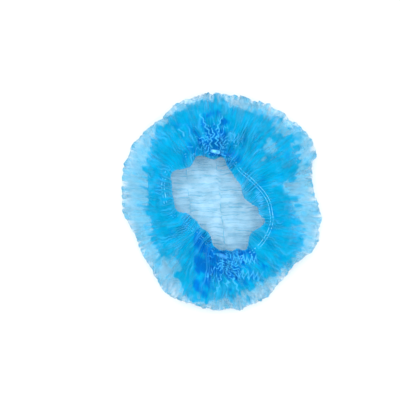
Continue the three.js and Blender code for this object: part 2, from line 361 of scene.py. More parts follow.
SUNK = (
    SunkRow(0, 1.1),
    SunkRow(14, 0.5),
    SunkRow(30, 0.7),
    SunkRow(48, 1.1),
    SunkRow(64, 2.6),
    SunkRow(92, 3.2),
    SunkRow(120, 3.2),
    SunkRow(148, 2.6),
    SunkRow(164, 1.5),
    SunkRow(180, 2.6),
    SunkRow(205, 3.0),
    SunkRow(222, 2.2),
    SunkRow(234, 1.3),
    SunkRow(248, 2.4),
    SunkRow(262, 3.2),
    SunkRow(278, 3.2),
    SunkRow(296, 2.6),
    SunkRow(312, 1.2),
    SunkRow(324, 0.6),
    SunkRow(342, 1.3),
)

FOLD_EDGES = (
    FoldEdge((-37, -34), (-39, -134), 26, 1.6, 1.3),
    FoldEdge((-2, 118), (4, 92), 14, 1.2, 0.8),
)

FANS = (
    Fan(-8, 80, 17, 44),
    Fan(9, -86, 17, 42),
)

ZIGZAGS = (
    Zigzag(33, -80, -2, 20, 5, 6),
    Zigzag(40, -101, -8, 21, 5, 7),
    Zigzag(20, 87, -12, 13, 5.5, 6),
    Zigzag(-22, 106, 113, 18, 1.2, 8),
    Zigzag(-2, 108, 70, 14, 1.2, 8),
    Zigzag(-54, 95, 115, 6, 1, 8),
    Zigzag(-5, -119, 249, 13, 1.2, 8),
    Zigzag(22, -119, 288, 17, 1.4, 9),
    Zigzag(54, 4, -65, 13, 2.4, 3.4),
    Zigzag(-14, 83, 85, 9, 1.8, 8),
    Zigzag(-6, 84, 95, 9, 2.4, 8.5),
    Zigzag(1, 83, 80, 9, 2.2, 8),
    Zigzag(3, -87, 95, 8, 1.5, 4),
    Zigzag(9, -88, 88, 10, 1.6, 3.6),
    Zigzag(15, -88, 80, 8, 1.6, 4.2),
)

CREASES = (
    Crease((-95, 120), (-86, -120), 1.4),
    Crease((-55, 120), (-33, -120), 2.2),
    Crease((-13, 120), (13, -120), 2.2),
)

# The pitch of the crown's cross rows in millimetres, the finer rows' pitch as a share of it, and how far each
# long crease shifts the rows, as another share.
ROW_PITCH = 11.6
FINE_ROWS = 0.46
COLUMN_SHIFT = 0.37

WRINKLES = (
    Wrinkle(ROW_PITCH, 0.4, 0.42, 0.58, 1.0),
    Wrinkle(ROW_PITCH * FINE_ROWS, 0.4, 0.48, 0.62, 0.45),
)

STRIDES = (
    Stride(12, 16),
    Stride(24, 8),
    Stride(50, 4),
    Stride(112, 2),
)

# Where each zone of the sheet starts and is full: by part, with the crown as 0 and the frill as 4, by share
# of the skirt's height, or by height in metres.
SKIRT_PARTS = (0.0, 0.9)
SKIRT_HEIGHTS = (0.1, 0.35)
TOP_PARTS = (1.2, 1.8)
TOP_HEIGHTS = (0.68, 0.86)
FREE_PARTS = (3.2, 4.0)
CROWN_HEIGHTS = (3 * MM, 14 * MM)
LAYER_RANGE = (0.3, 9)


def around(rows: tuple, column: str, bearing: np.ndarray) -> np.ndarray:
    """Reads a table's column at any bearings, on a smooth curve through the rows and round the turn.

    Args:
        rows: The table's rows, each with its bearing in degrees.
        column: The name of the column.
        bearing: The bearings asked for, in degrees.

    Returns:
        One value for each bearing.
    """
    at = np.array([row.bearing for row in rows], float)
    value = np.tile([getattr(row, column) for row in rows], 3)
    at = np.concatenate([at - FULL_TURN, at, at + FULL_TURN])
    turned = np.mod(bearing, FULL_TURN)
    return smooth_through(at, value[:, None], turned)[:, 0]


def smooth_through(at: np.ndarray, value: np.ndarray, wanted: np.ndarray) -> np.ndarray:
    """Interpolates on a smooth curve that passes through every known value.

    Args:
        at: Where the values are known, ascending.
        value: The known values, one row for each place.
        wanted: Where values are wanted.

    Returns:
        One row for each wanted place.
    """
    slope = np.empty_like(value, dtype=float)
    gap = np.diff(at).reshape((-1,) + (1,) * (value.ndim - 1))
    slope[1:-1] = (value[2:] - value[:-2]) / (gap[1:] + gap[:-1])
    slope[0] = (value[1] - value[0]) / gap[0]
    slope[-1] = (value[-1] - value[-2]) / gap[-1]
    i = np.clip(np.searchsorted(at, wanted, side="right") - 1, 0, len(at) - 2)
    t = ((wanted - at[i]) / (at[i + 1] - at[i])).reshape((-1,) + (1,) * (value.ndim - 1))
    span = gap[i]
    rise = value[i + 1] - value[i]
    first, last = slope[i] * span, slope[i + 1] * span
    return value[i] + t * (first + t * (3 * rise - 2 * first - last + t * (first + last - 2 * rise)))


def smooth_step(low: float, high: float, value: np.ndarray) -> np.ndarray:
    """Goes from 0 to 1 between low and high with level ends.

    Args:
        low: Where the step starts.
        high: Where the step ends.
        value: The values to step.

    Returns:
        The stepped values.
    """
    t = np.clip((value - low) / (high - low), 0, 1)
    return t * t * (3 - 2 * t)


@dataclass(frozen=True)
class Ripples:
    """Smooth random ripples through space, made of plane waves.

    wavelength is in millimetres, waves is how many plane waves add up, seed fixes them, and share is how
    much they count in a sum of ripples.
    """

    wavelength: float
    waves: int
    seed: int
    share: float = 1.0

    def at(self, points: np.ndarray) -> np.ndarray:
        """Gives the ripple's height at points.

        Args:
            points: Points in metres, in the last axis.

        Returns:
            Heights of about -1 to 1.
        """
        rng = np.random.default_rng(self.seed)
        total = np.zeros(points.shape[:-1])
        for _ in range(self.waves):
            way = rng.normal(size=3)
            way *= 2 * math.pi / (self.wavelength * MM * rng.uniform(0.7, 1.5) * np.linalg.norm(way))
            total += np.sin(points @ way + rng.uniform(0, 2 * math.pi))
        return total / math.sqrt(self.waves)


def blend(ripples: tuple[Ripples, ...], points: np.ndarray) -> np.ndarray:
    """Adds ripples up, each by its share.

    Args:
        ripples: The ripples.
        points: Points in metres, in the last axis.

    Returns:
        The sum at each point.
    """
    return sum(each.share * each.at(points) for each in ripples)


@dataclass(frozen=True)
class Streaks:
    """Random folds that run from the crown to the opening, side by side round the cap.

    fewest and most are how many folds fit round the cap, waves is how many of their waves add up, run is how
    far one goes before it fades into its neighbours, in millimetres, and seed fixes them.
    """

    fewest: int
    most: int
    waves: int
    run: float
    seed: int

    def at(self, turn: np.ndarray, along: np.ndarray) -> np.ndarray:
        """Gives the folds' height.

        Args:
            turn: Angles round the cap, in radians.
            along: Distances from the middle of the crown, in metres.

        Returns:
            Heights of about -1 to 1.
        """
        rng = np.random.default_rng(self.seed)
        total = np.zeros(np.broadcast(turn, along).shape)
        for _ in range(self.waves):
            count = rng.integers(self.fewest, self.most + 1)
            slope = 2 * math.pi / (self.run * MM) * rng.uniform(-1, 1)
            total += np.sin(count * turn + slope * along + rng.uniform(0, 2 * math.pi))
        return total / math.sqrt(self.waves)


# The sheet's random unevenness. The last number of a ripple is its share of the sum that it is part of.
BENDS = (Ripples(48, 7, 14, 0.04), Ripples(21, 8, 15, 0.02), Ripples(9, 9, 16, 0.009))
PUCKERS = (Ripples(42, 7, 21, 1.0), Ripples(17, 9, 22, 0.5), Ripples(8, 9, 23, 0.22))
MOTTLE = (Ripples(16, 7, 31, 0.5), Ripples(34, 7, 32, 0.5))
PATCH_EDGES = (Ripples(15, 8, 33, 0.4), Ripples(6, 8, 36, 0.2))
FINE_DRIFT = Ripples(26, 8, 17)
CROSS_DRIFT = Ripples(25, 5, 51)
PAD_LUMPS = Ripples(3, 6, 61)
TUFTS = Streaks(24, 44, 7, 80, 12)

# How far the folded band's start wanders, in millimetres, the shifts over which it is softened, and how many
# parts away from the puff it reaches.
BAND_SWAY = 5.0
BAND_SWAYS = Ripples(20, 6, 34)
BAND_TOOTH = 3.5
BAND_TEETH = Streaks(60, 130, 8, 60, 35)
BAND_BLUR = (-4, -1.5, 1.5, 4)
BAND_PARTS = 0.9

# How far the frill's free edge wanders, in millimetres.
EDGE_SWAY = 1.3
EDGE_SWAYS = Streaks(9, 22, 6, 400, 45)
EDGE_TOOTH = 0.4
EDGE_TEETH = Streaks(60, 110, 6, 400, 46)


@dataclass(frozen=True)
class CapShape:
    """The cap's smooth form, before gathers and wrinkles. Sizes are in metres.

    shift_x and shift_y say how far the opening's middle lies off the outline's, band_half is half the
    width of the elastic's own band, and fanning how much the gathers lean towards the two welds.
    """

    width: float = 279 * MM
    length: float = 304 * MM
    skirt_height: float = 43 * MM
    opening_width: float = 149 * MM
    opening_length: float = 147 * MM
    shift_x: float = -5.5 * MM
    shift_y: float = -4.5 * MM
    band_half: float = 3.5 * MM
    frill_depth: float = 10 * MM
    frill_rise: float = 4 * MM
    fanning: float = 0.3

    def origin(self) -> np.ndarray:
        """Finds where the frame puts the middle of the sheet, from the two welded bars.

        Returns:
            The shift from the sheet's own middle to the frame's, as x, y and 0.
        """
        shifts = []
        for end in End:
            low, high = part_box(bar_node(end))
            here = self.rim(self.rim_bearing(np.array([end.value])))[0]
            shifts.append([(low[0] + high[0]) / 2 - here[0], (low[1] + high[1]) / 2 - here[1], 0])
        return np.mean(shifts, axis=0)

    def rim_bearing(self, bearing: np.ndarray) -> np.ndarray:
        """Gives where round the opening the gather starts that ends at a bearing of the outline."""
        lean = np.sin(2 * np.radians(bearing - End.BACK.value))
        return bearing - math.degrees(self.fanning / 2) * lean

    def outline(self, bearing: np.ndarray) -> np.ndarray:
        """Places the puffed outline, level with the floor.

        Args:
            bearing: Bearings in degrees.

        Returns:
            The outline's points.
        """
        reach = around(OUTLINE, "reach", bearing)
        turn = np.radians(bearing)
        x = self.width / 2 * reach * np.cos(turn)
        y = self.length / 2 * reach * np.sin(turn)
        return np.stack([x, y, np.zeros_like(x)], axis=-1)

    def rim(self, bearing: np.ndarray) -> np.ndarray:
        """Places the elastic's line, level with the floor.

        Args:
            bearing: Bearings round the opening, in degrees.

        Returns:
            The line's points.
        """
        reach = around(RIM, "reach", bearing)
        turn = np.radians(bearing)
        x = self.shift_x + self.opening_width / 2 * reach * np.cos(turn)
        y = self.shift_y + self.opening_length / 2 * reach * np.sin(turn)
        return np.stack([x, y, np.zeros_like(x)], axis=-1)

    def inward(self, bearing: np.ndarray) -> np.ndarray:
        """Finds the level directions across the elastic, towards the middle of the opening.

        Args:
            bearing: Bearings round the opening, in degrees.

        Returns:
            The directions.
        """
        step = 2.0
        along = self.rim(bearing + step) - self.rim(bearing - step)
        along /= np.linalg.norm(along, axis=-1, keepdims=True)
        return np.stack([-along[..., 1], along[..., 0], np.zeros(len(along))], axis=-1)

    def rim_height(self, bearing: np.ndarray) -> np.ndarray:
        """Gives the height of the sheet under the elastic."""
        return self.skirt_height * around(RIM, "rise", bearing)

    def sunk(self, bearing: np.ndarray, height: float) -> np.ndarray:
        """Gives the skirt's height at a ring, with its dents.

        Args:
            bearing: Bearings in degrees.
            height: The ring's height as a share.

        Returns:
            The skirt's full height there, in metres.
        """
        sink = np.zeros_like(bearing)
        for dent in DENTS:
            off = np.abs(np.mod(bearing - dent.bearing + FULL_TURN / 2, FULL_TURN) - FULL_TURN / 2)
            sink += np.where(off < dent.span, dent.sink * np.cos(off / dent.span * math.pi / 2) ** 2, 0)
        return self.skirt_height * (1 - sink * math.sqrt(height))

    def ring(self, ring: Ring, bearing: np.ndarray) -> np.ndarray:
        """Places a guiding ring's points.

        Args:
            ring: The ring's row of the table.
            bearing: Bearings in degrees.

        Returns:
            Points in metres, in the sheet's own middle.
        """
        skirt = self.sunk(bearing, ring.height)
        outline = self.outline(bearing)
        if ring.part is Part.CROWN:
            points = outline * ring.share
            points[:, 2] = skirt * ring.height
            return points
        start = self.rim_bearing(bearing)
        across = self.inward(start)
        outer = self.rim(start) - across * self.band_half
        tuck = around(OUTLINE, "tuck", bearing)[:, None]
        tuck_line = outline + (outer - outline) * tuck
        rim_height = self.rim_height(start)
        if ring.part is Part.PUFF:
            points = outline + (tuck_line - outline) * ring.share
            points[:, 2] = skirt * ring.height
            return points
        if ring.part is Part.BAND:
            points = tuck_line + (outer - tuck_line) * ring.share
            level = skirt * ring.height
            points[:, 2] = level + (rim_height - level) * ring.share
            return points
        frill = around(RIM, "frill", start)
        side = np.full(len(bearing), self.band_half * (1 if ring.part is Part.FRILL else ring.share))
        edge = np.zeros(len(bearing))
        if ring.part is Part.FRILL:
            side += self.frill_depth * frill * ring.share
            edge += self.frill_rise * ring.height * frill
        points = self.rim(start) + across * side[:, None]
        points[:, 2] = rim_height + edge
        return points


@dataclass(frozen=True)
class Knot:
    """One of the two places where the pleats bunch up round a weld, with the crests that fan out of it."""

    x: float
    y: float
    crests: int
    seed: int


class Number:
    """A number in a node tree: arithmetic with it adds the Math nodes that work it out."""

    def __init__(self, tree: bpy.types.NodeTree, socket: bpy.types.NodeSocket) -> None:
        """Takes the socket that gives the number.

        Args:
            tree: The tree that holds the socket.
            socket: The output that gives the number.
        """
        self.tree = tree
        self.socket = socket

    def through(self, operation: str, other: object = 0.0) -> "Number":
        """Puts this number through a Math node, with the other one as its second value."""
        return add_math(self.tree, operation, self, other)

    def __add__(self, other: object) -> "Number":
        """Adds another number."""
        return self.through("ADD", other)

    def __radd__(self, other: object) -> "Number":
        """Adds this number to another."""
        return self.through("ADD", other)

    def __sub__(self, other: object) -> "Number":
        """Takes another number away."""
        return self.through("SUBTRACT", other)

    def __rsub__(self, other: object) -> "Number":
        """Takes this number away from another."""
        return add_math(self.tree, "SUBTRACT", other, self)

    def __mul__(self, other: object) -> "Number":
        """Multiplies by another number."""
        return self.through("MULTIPLY", other)

    def __rmul__(self, other: object) -> "Number":
        """Multiplies another number by this one."""
        return self.through("MULTIPLY", other)

    def __truediv__(self, other: object) -> "Number":
        """Divides by another number."""
        return self.through("DIVIDE", other)

    def __rtruediv__(self, other: object) -> "Number":
        """Divides another number by this one."""
        return add_math(self.tree, "DIVIDE", other, self)

    def __pow__(self, other: object) -> "Number":
        """Raises to a power."""
        return self.through("POWER", other)

    def __rpow__(self, other: object) -> "Number":
        """Raises another number to this power."""
        return add_math(self.tree, "POWER", other, self)

    def __abs__(self) -> "Number":
        """Drops the sign."""
        return self.through("ABSOLUTE")

    def larger(self, other: object) -> "Number":
        """Gives the larger of this number and another."""
        return self.through("MAXIMUM", other)

    def ramp(self, low: float, high: float, start: float = 0.0, stop: float = 1.0) -> "Number":
        """Takes this number smoothly from one range to another.

        Args:
            low: The value that gives start.
            high: The value that gives stop.
            start: The result at low.
            stop: The result at high.

        Returns:
            The result.
        """
        node = add_node(self.tree, "ShaderNodeMapRange", interpolation_type="SMOOTHSTEP")
        values = {"Value": self, "From Min": low, "From Max": high, "To Min": start, "To Max": stop}
        for name, value in values.items():
            feed(self.tree, value, node.inputs[name])
        return Number(self.tree, node.outputs["Result"])


def add_node(tree: bpy.types.NodeTree, kind: str, **settings: object) -> bpy.types.Node:
    """Adds a node to a tree.

    Args:
        tree: The tree.
        kind: The node's type name.
        settings: Properties to set on it.

    Returns:
        The node.
    """
    node = tree.nodes.new(kind)
    for name, value in settings.items():
        setattr(node, name, value)
    return node


def feed(tree: bpy.types.NodeTree, value: object, socket: bpy.types.NodeSocket) -> None:
    """Feeds a socket from another socket, a number or a colour.

    Args:
        tree: The tree that holds the socket.
        value: A number in the tree, a socket, a plain number or three plain numbers.
        socket: The input to feed.
    """
    if isinstance(value, Number):
        value = value.socket
    if isinstance(value, bpy.types.NodeSocket):
        tree.links.new(value, socket)
    elif socket.type == "RGBA":
        socket.default_value = (*value, 1.0)
    else:
        socket.default_value = value


def add_math(tree: bpy.types.NodeTree, operation: str, a: object, b: object) -> Number:
    """Adds a node that combines two numbers.

    Args:
        tree: The tree.
        operation: The operation's name.
        a: The first number.
        b: The second number, which an operation on one number leaves out.

    Returns:
        The result.
    """
    node = add_node(tree, "ShaderNodeMath", operation=operation)
    feed(tree, a, node.inputs[0])
    feed(tree, b, node.inputs[1])
    return Number(tree, node.outputs[0])


class Paint:
    """Builds one node material around a single Principled shader."""

    def __init__(self, name: str) -> None:
        """Starts an empty material.

        Args:
            name: The material's name.
        """
        self.material = bpy.data.materials.new(name)
        self.material.use_nodes = True
        self.tree = self.material.node_tree
        self.shader = next(n for n in self.tree.nodes if n.type == "BSDF_PRINCIPLED")

    def node(self, kind: str, **settings: object) -> bpy.types.Node:
        """Adds a node with its settings."""
        return add_node(self.tree, kind, **settings)

    def link(self, value: object, socket: bpy.types.NodeSocket) -> None:
        """Feeds a socket from a socket, a number or a colour."""
        feed(self.tree, value, socket)

    def place(self) -> bpy.types.NodeSocket:
        """Reads the place on the object, in metres."""
        return self.node("ShaderNodeTexCoord").outputs["Object"]

    def attribute(self, name: str) -> Number:
        """Reads a number that the mesh carries."""
        return Number(self.tree, self.node("ShaderNodeAttribute", attribute_name=name).outputs["Fac"])

    def carried_place(self, name: str) -> bpy.types.NodeSocket:
        """Reads a place that the mesh carries."""
        return self.node("ShaderNodeAttribute", attribute_name=name).outputs["Vector"]

    def map(self, name: str) -> bpy.types.NodeSocket:
        """Reads a map that lies on the mesh."""
        return self.node("ShaderNodeUVMap", uv_map=name).outputs["UV"]

    def group(self, tree: bpy.types.NodeTree, **inputs: object) -> dict[str, Number]:
        """Places a node group with its own values.

        Args:
            tree: The group's tree.
            inputs: Values for the inputs, by name.

        Returns:
            The group's outputs by name.
        """
        node = self.node("ShaderNodeGroup")
        node.node_tree = tree
        for name, value in inputs.items():
            self.link(value, node.inputs[name])
        return {output.name: Number(self.tree, output) for output in node.outputs}

    def mix(self, factor: object, a: object, b: object) -> bpy.types.NodeSocket:
        """Mixes two colours.

        Args:
            factor: How much of the second colour there is.
            a: The first colour.
            b: The second colour.

        Returns:
            The mixed colour.
        """
        node = self.node("ShaderNodeMix", data_type="RGBA")
        colours = [socket for socket in node.inputs if socket.type == "RGBA"]
        self.link(factor, node.inputs[0])
        self.link(a, colours[0])
        self.link(b, colours[1])
        return next(socket for socket in node.outputs if socket.type == "RGBA")

    def tint(self, colour: object, shade: object) -> bpy.types.NodeSocket:
        """Scales a colour by a number.

        Args:
            colour: The colour.
            shade: How much brighter or darker it gets.

        Returns:
            The scaled colour.
        """
        node = self.node("ShaderNodeVectorMath", operation="SCALE")
        self.link(colour, node.inputs[0])
        self.link(shade, node.inputs["Scale"])
        return node.outputs[0]

    def bump(self, height: object, strength: float, distance: float) -> bpy.types.NodeSocket:
        """Turns a height into a normal.

        Args:
            height: The height, in shares of distance.
            strength: How strongly it shows.
            distance: The relief's depth in metres.

        Returns:
            The normal.
        """
        node = self.node("ShaderNodeBump")
        node.inputs["Strength"].default_value = strength
        node.inputs["Distance"].default_value = distance
        self.link(height, node.inputs["Height"])
        return node.outputs["Normal"]

    def finish(
        self,
        colour: object,
        roughness: object,
        normal: object,
        constants: dict[str, float],
        alpha: object = 1.0,
    ) -> None:
        """Feeds the Principled shader.

        Args:
            colour: The base colour.
            roughness: The roughness.
            normal: The normal.
            constants: Plain values for other sockets, by name.
            alpha: How much the surface covers.
        """
        self.link(colour, self.shader.inputs["Base Color"])
        self.link(roughness, self.shader.inputs["Roughness"])
        self.link(normal, self.shader.inputs["Normal"])
        self.link(alpha, self.shader.inputs["Alpha"])
        for name, value in constants.items():
            self.shader.inputs[name].default_value = value


class Pattern:
    """A shader node group under construction: a place and plain numbers in, plain numbers out."""

    def __init__(self, name: str, numbers: tuple[str, ...], outputs: tuple[str, ...]) -> None:
        """Starts the group, whose first input is Place.

        Args:
            name: The group's name.
            numbers: The names of its other inputs.
            outputs: The names of its outputs.
        """
        self.tree = bpy.data.node_groups.new(name, "ShaderNodeTree")
        self.tree.interface.new_socket("Place", in_out="INPUT", socket_type="NodeSocketVector")
        for number in numbers:
            self.tree.interface.new_socket(number, in_out="INPUT", socket_type="NodeSocketFloat")
        for output in outputs:
            self.tree.interface.new_socket(output, in_out="OUTPUT", socket_type="NodeSocketFloat")
        given = self.tree.nodes.new("NodeGroupInput").outputs
        self.place = given["Place"]
        self.given = {number: Number(self.tree, given[number]) for number in numbers}
        self.wanted = self.tree.nodes.new("NodeGroupOutput").inputs

    def across_and_up(self) -> tuple[Number, Number]:
        """Splits the place.

        Returns:
            The place's x and y.
        """
        split = add_node(self.tree, "ShaderNodeSeparateXYZ")
        feed(self.tree, self.place, split.inputs[0])
        return Number(self.tree, split.outputs["X"]), Number(self.tree, split.outputs["Y"])

    def stretched(
        self, scale: tuple[float, float, float], shift: tuple[float, float, float] = (0.0, 0.0, 0.0)
    ) -> bpy.types.NodeSocket:
        """Scales and shifts the place, so that what is read there is drawn out.

        Args:
            scale: The scale along each axis.
            shift: The shift along each axis.

        Returns:
            The changed place.
        """
        node = add_node(self.tree, "ShaderNodeMapping")
        node.inputs["Scale"].default_value = scale
        node.inputs["Location"].default_value = shift
        feed(self.tree, self.place, node.inputs["Vector"])
        return node.outputs[0]

    def noise(self, scale: object, detail: float, place: bpy.types.NodeSocket | None = None) -> Number:
        """Adds a noise texture.

        Args:
            scale: Its scale, per metre.
            detail: How much fine detail it has.
            place: Where to read it, if not at the group's own place.

        Returns:
            Its value.
        """
        node = add_node(self.tree, "ShaderNodeTexNoise")
        node.inputs["Detail"].default_value = detail
        feed(self.tree, self.place if place is None else place, node.inputs["Vector"])
        feed(self.tree, scale, node.inputs["Scale"])
        return Number(self.tree, node.outputs["Fac"])

    def give(self, **outputs: Number) -> bpy.types.NodeTree:
        """Feeds the group's outputs.

        Args:
            outputs: The numbers, by the outputs' names.

        Returns:
            The finished tree.
        """
        for name, value in outputs.items():
            feed(self.tree, value, self.wanted[name])
        return self.tree


@cache
def streak_group() -> bpy.types.NodeTree:
    """Builds, once, fine folds that run across the elastic, drawn out along the sheet.

    Returns:
        A group with Place (on the rolled-up sheet) and Scale in, and Streak and Height out.
    """
    pattern = Pattern("fine_gathers", ("Scale",), ("Streak", "Height"))
    along_the_sheet = 0.14
    place = pattern.stretched((1.0, 1.0, along_the_sheet))
    value = pattern.noise(pattern.given["Scale"], detail=2.5, place=place)
    return pattern.give(Streak=value.ramp(0.32, 0.68), Height=abs(value - 0.5).ramp(0.0, 0.16))


@cache
def fan_group() -> bpy.types.NodeTree:
    """Builds, once, the crimped pleat edges that fan out of a knot, each with a painted highlight along it.

    Returns:
        A group with Place, the knot's X and Y, Pleats and Reach in, and Line and Height out.
    """
    crimp = 3.8 * MM
    core, edge = 0.4 * MM, 1.25 * MM
    bare, full = 7 * MM, 11 * MM
    wander_out, wander_round, wander_reach = 14 * MM, 2.2, 1.4
    pattern = Pattern("crimped_pleats", ("X", "Y", "Pleats", "Reach"), ("Line", "Height"))
    given = pattern.given
    x, y = pattern.across_and_up()
    dx, dy = x - given["X"], y - given["Y"]
    far = ((dx * dx + dy * dy) ** 0.5).larger(MM)
    wander = pattern.noise(scale=75.0, detail=1.0) - 0.5
    zig = (far + wander * wander_out).through("PINGPONG", crimp) - crimp / 2
    turned = (dy.through("ARCTAN2", dx) + zig / far) * given["Pleats"]
    phase = turned / (2 * math.pi) + wander * wander_round
    off = abs(phase.through("FRACT") - 0.5)
    spacing = far * (2 * math.pi) / given["Pleats"]
    fade = (far / given["Reach"] + wander * wander_reach).ramp(0.45, 1.0, start=1.0, stop=0.0)
    gate = pattern.noise(scale=120.0, detail=1.0).ramp(0.33, 0.5)
    # The line is a painted highlight along each crimped edge.
    line = (off * spacing).ramp(core, edge, start=1.0, stop=0.0) * fade * gate * far.ramp(bare, full)
    return pattern.give(Line=line, Height=off.ramp(0.0, 0.5, start=1.0, stop=0.0) * fade)


@cache
def zigzag_group() -> bpy.types.NodeTree:
    """Builds, once, a row of crimps along a folded pleat edge, with a painted highlight along it.

    Returns:
        A group with Place, the row's X and Y, Turn, HalfLength, Swing and Pitch in, and Line out.
    """
    core, edge = 0.4 * MM, 1.2 * MM
    wander_along, wander_across = 9 * MM, 7 * MM
    pattern = Pattern("crimped_edge", ("X", "Y", "Turn", "HalfLength", "Swing", "Pitch"), ("Line",))
    given = pattern.given
    x, y = pattern.across_and_up()
    dx, dy = x - given["X"], y - given["Y"]
    cosine, sine = given["Turn"].through("COSINE"), given["Turn"].through("SINE")
    wander = pattern.noise(scale=90.0, detail=1.0) - 0.5
    along = dx * cosine + dy * sine + wander * wander_along
    across = dy * cosine - dx * sine + wander * wander_across
    half = given["Pitch"] * 0.5
    swing = given["Swing"] * 2.0
    crimps = (along.through("PINGPONG", half) / half - 0.5) * swing
    slope = swing / half
    steep = (slope * slope + 1.0) ** 0.5
    # The line is a painted highlight along the crimps; it also shapes their ridges.
    line = abs((across - crimps) / steep).ramp(core, edge, start=1.0, stop=0.0)
    fade = abs(along / given["HalfLength"]).ramp(0.7, 1.0, start=1.0, stop=0.0)
    return pattern.give(Line=line * fade)


@cache
def cloudiness_group() -> bpy.types.NodeTree:
    """Builds, once, the uneven density and fuzz of cloth made of loose fibres.

    Returns:
        A group with Place, Scale and Fine in, and Cloud, Density, Shade and Fuzz out.
    """
    pattern = Pattern("uneven_fibres", ("Scale", "Fine"), ("Cloud", "Density", "Shade", "Fuzz"))
    cloud = pattern.noise(pattern.given["Scale"], detail=3.0)
    return pattern.give(
        Cloud=cloud.ramp(0.3, 0.7),
        Density=cloud.ramp(0.25, 0.75, start=0.74, stop=1.28),
        Shade=cloud.ramp(0.3, 0.7, start=1.12, stop=0.86),
        Fuzz=pattern.noise(pattern.given["Fine"], detail=2.0),
    )


@cache
def bond_group() -> bpy.types.NodeTree:
    """Builds, once, the pressed grid of bonds that holds a spunbonded cloth together.

    Returns:
        A group with Place and Pitch (in millimetres) in, and Height out.
    """
    pattern = Pattern("pressed_bonds", ("Pitch",), ("Height",))
    x, y = pattern.across_and_up()
    turns = (2 * math.pi / MM) / pattern.given["Pitch"]
    dots = ((x + y) * turns).through("SINE") * ((x - y) * turns).through("SINE")
    return pattern.give(Height=dots.ramp(0.25, 0.6, start=0.5, stop=0.0))


@cache
def crinkle_group() -> bpy.types.NodeTree:
    """Builds, once, the crown's short cross wrinkles between its long pleat creases. Their dark lines are
    partly folded cloth and partly painted shade in the grooves, and one slope of each row is shaded in a
    gradient, as painted shade.

    Returns:
        A group with Place in, and Lines, Fold and Height out.
    """
    core, edge = 0.3 * MM, 1.1 * MM
    wander_across, wander_along = 6 * MM, 0.9
    crease_strength, swell, groove = 1.1, 3.0, 1.5
    pattern = Pattern("crown_crinkles", (), ("Lines", "Fold", "Height"))
    x, y = pattern.across_and_up()
    wander = pattern.noise(scale=38.0, detail=2.0) - 0.5
    gate = pattern.noise(scale=75.0, detail=1.0).ramp(0.47, 0.6)
    shift, drawn = [], []
    for crease in CREASES:
        lean = (crease.end[0] - crease.start[0]) / (crease.end[1] - crease.start[1])
        middle = y * lean + (crease.start[0] - lean * crease.start[1]) * MM
        off = x - middle + wander * wander_across
        shift.append(off.ramp(-MM, MM) * COLUMN_SHIFT)
        drawn.append(abs(off).ramp(core, edge, start=crease_strength, stop=0.0) * gate)
    waver = sum(shift) + wander * wander_along
    fractions, wrinkles = [], []
    for row in WRINKLES:
        fraction = (y / (row.pitch * MM) + waver).through("FRACT")
        place = pattern.stretched((0.5, 1.8, 1.0), (row.pitch, 0.0, 0.0))
        patchy = pattern.noise(scale=80.0, detail=2.0, place=place)
        shown = patchy.ramp(row.bare, row.full, start=0.0, stop=row.strength)
        thin = row.width / row.pitch
        fractions.append(fraction)
        wrinkles.append(abs(fraction - 0.5).ramp(thin, thin * 3, start=1.0, stop=0.0) * shown)
    lines = reduce(Number.larger, wrinkles)
    height = abs(fractions[0] - 0.5).ramp(0.0, 0.5, start=0.0, stop=swell)
    # The lines darken the wrinkles' grooves and the long creases, partly for folded cloth and partly as
    # painted shade; the row shade is painted shade on one slope of each row.
    return pattern.give(
        Lines=lines.larger(reduce(Number.larger, drawn)),
        Fold=fractions[0].ramp(0.5, 1.0, start=0.0, stop=0.5),
        Height=height - lines * groove,
    )


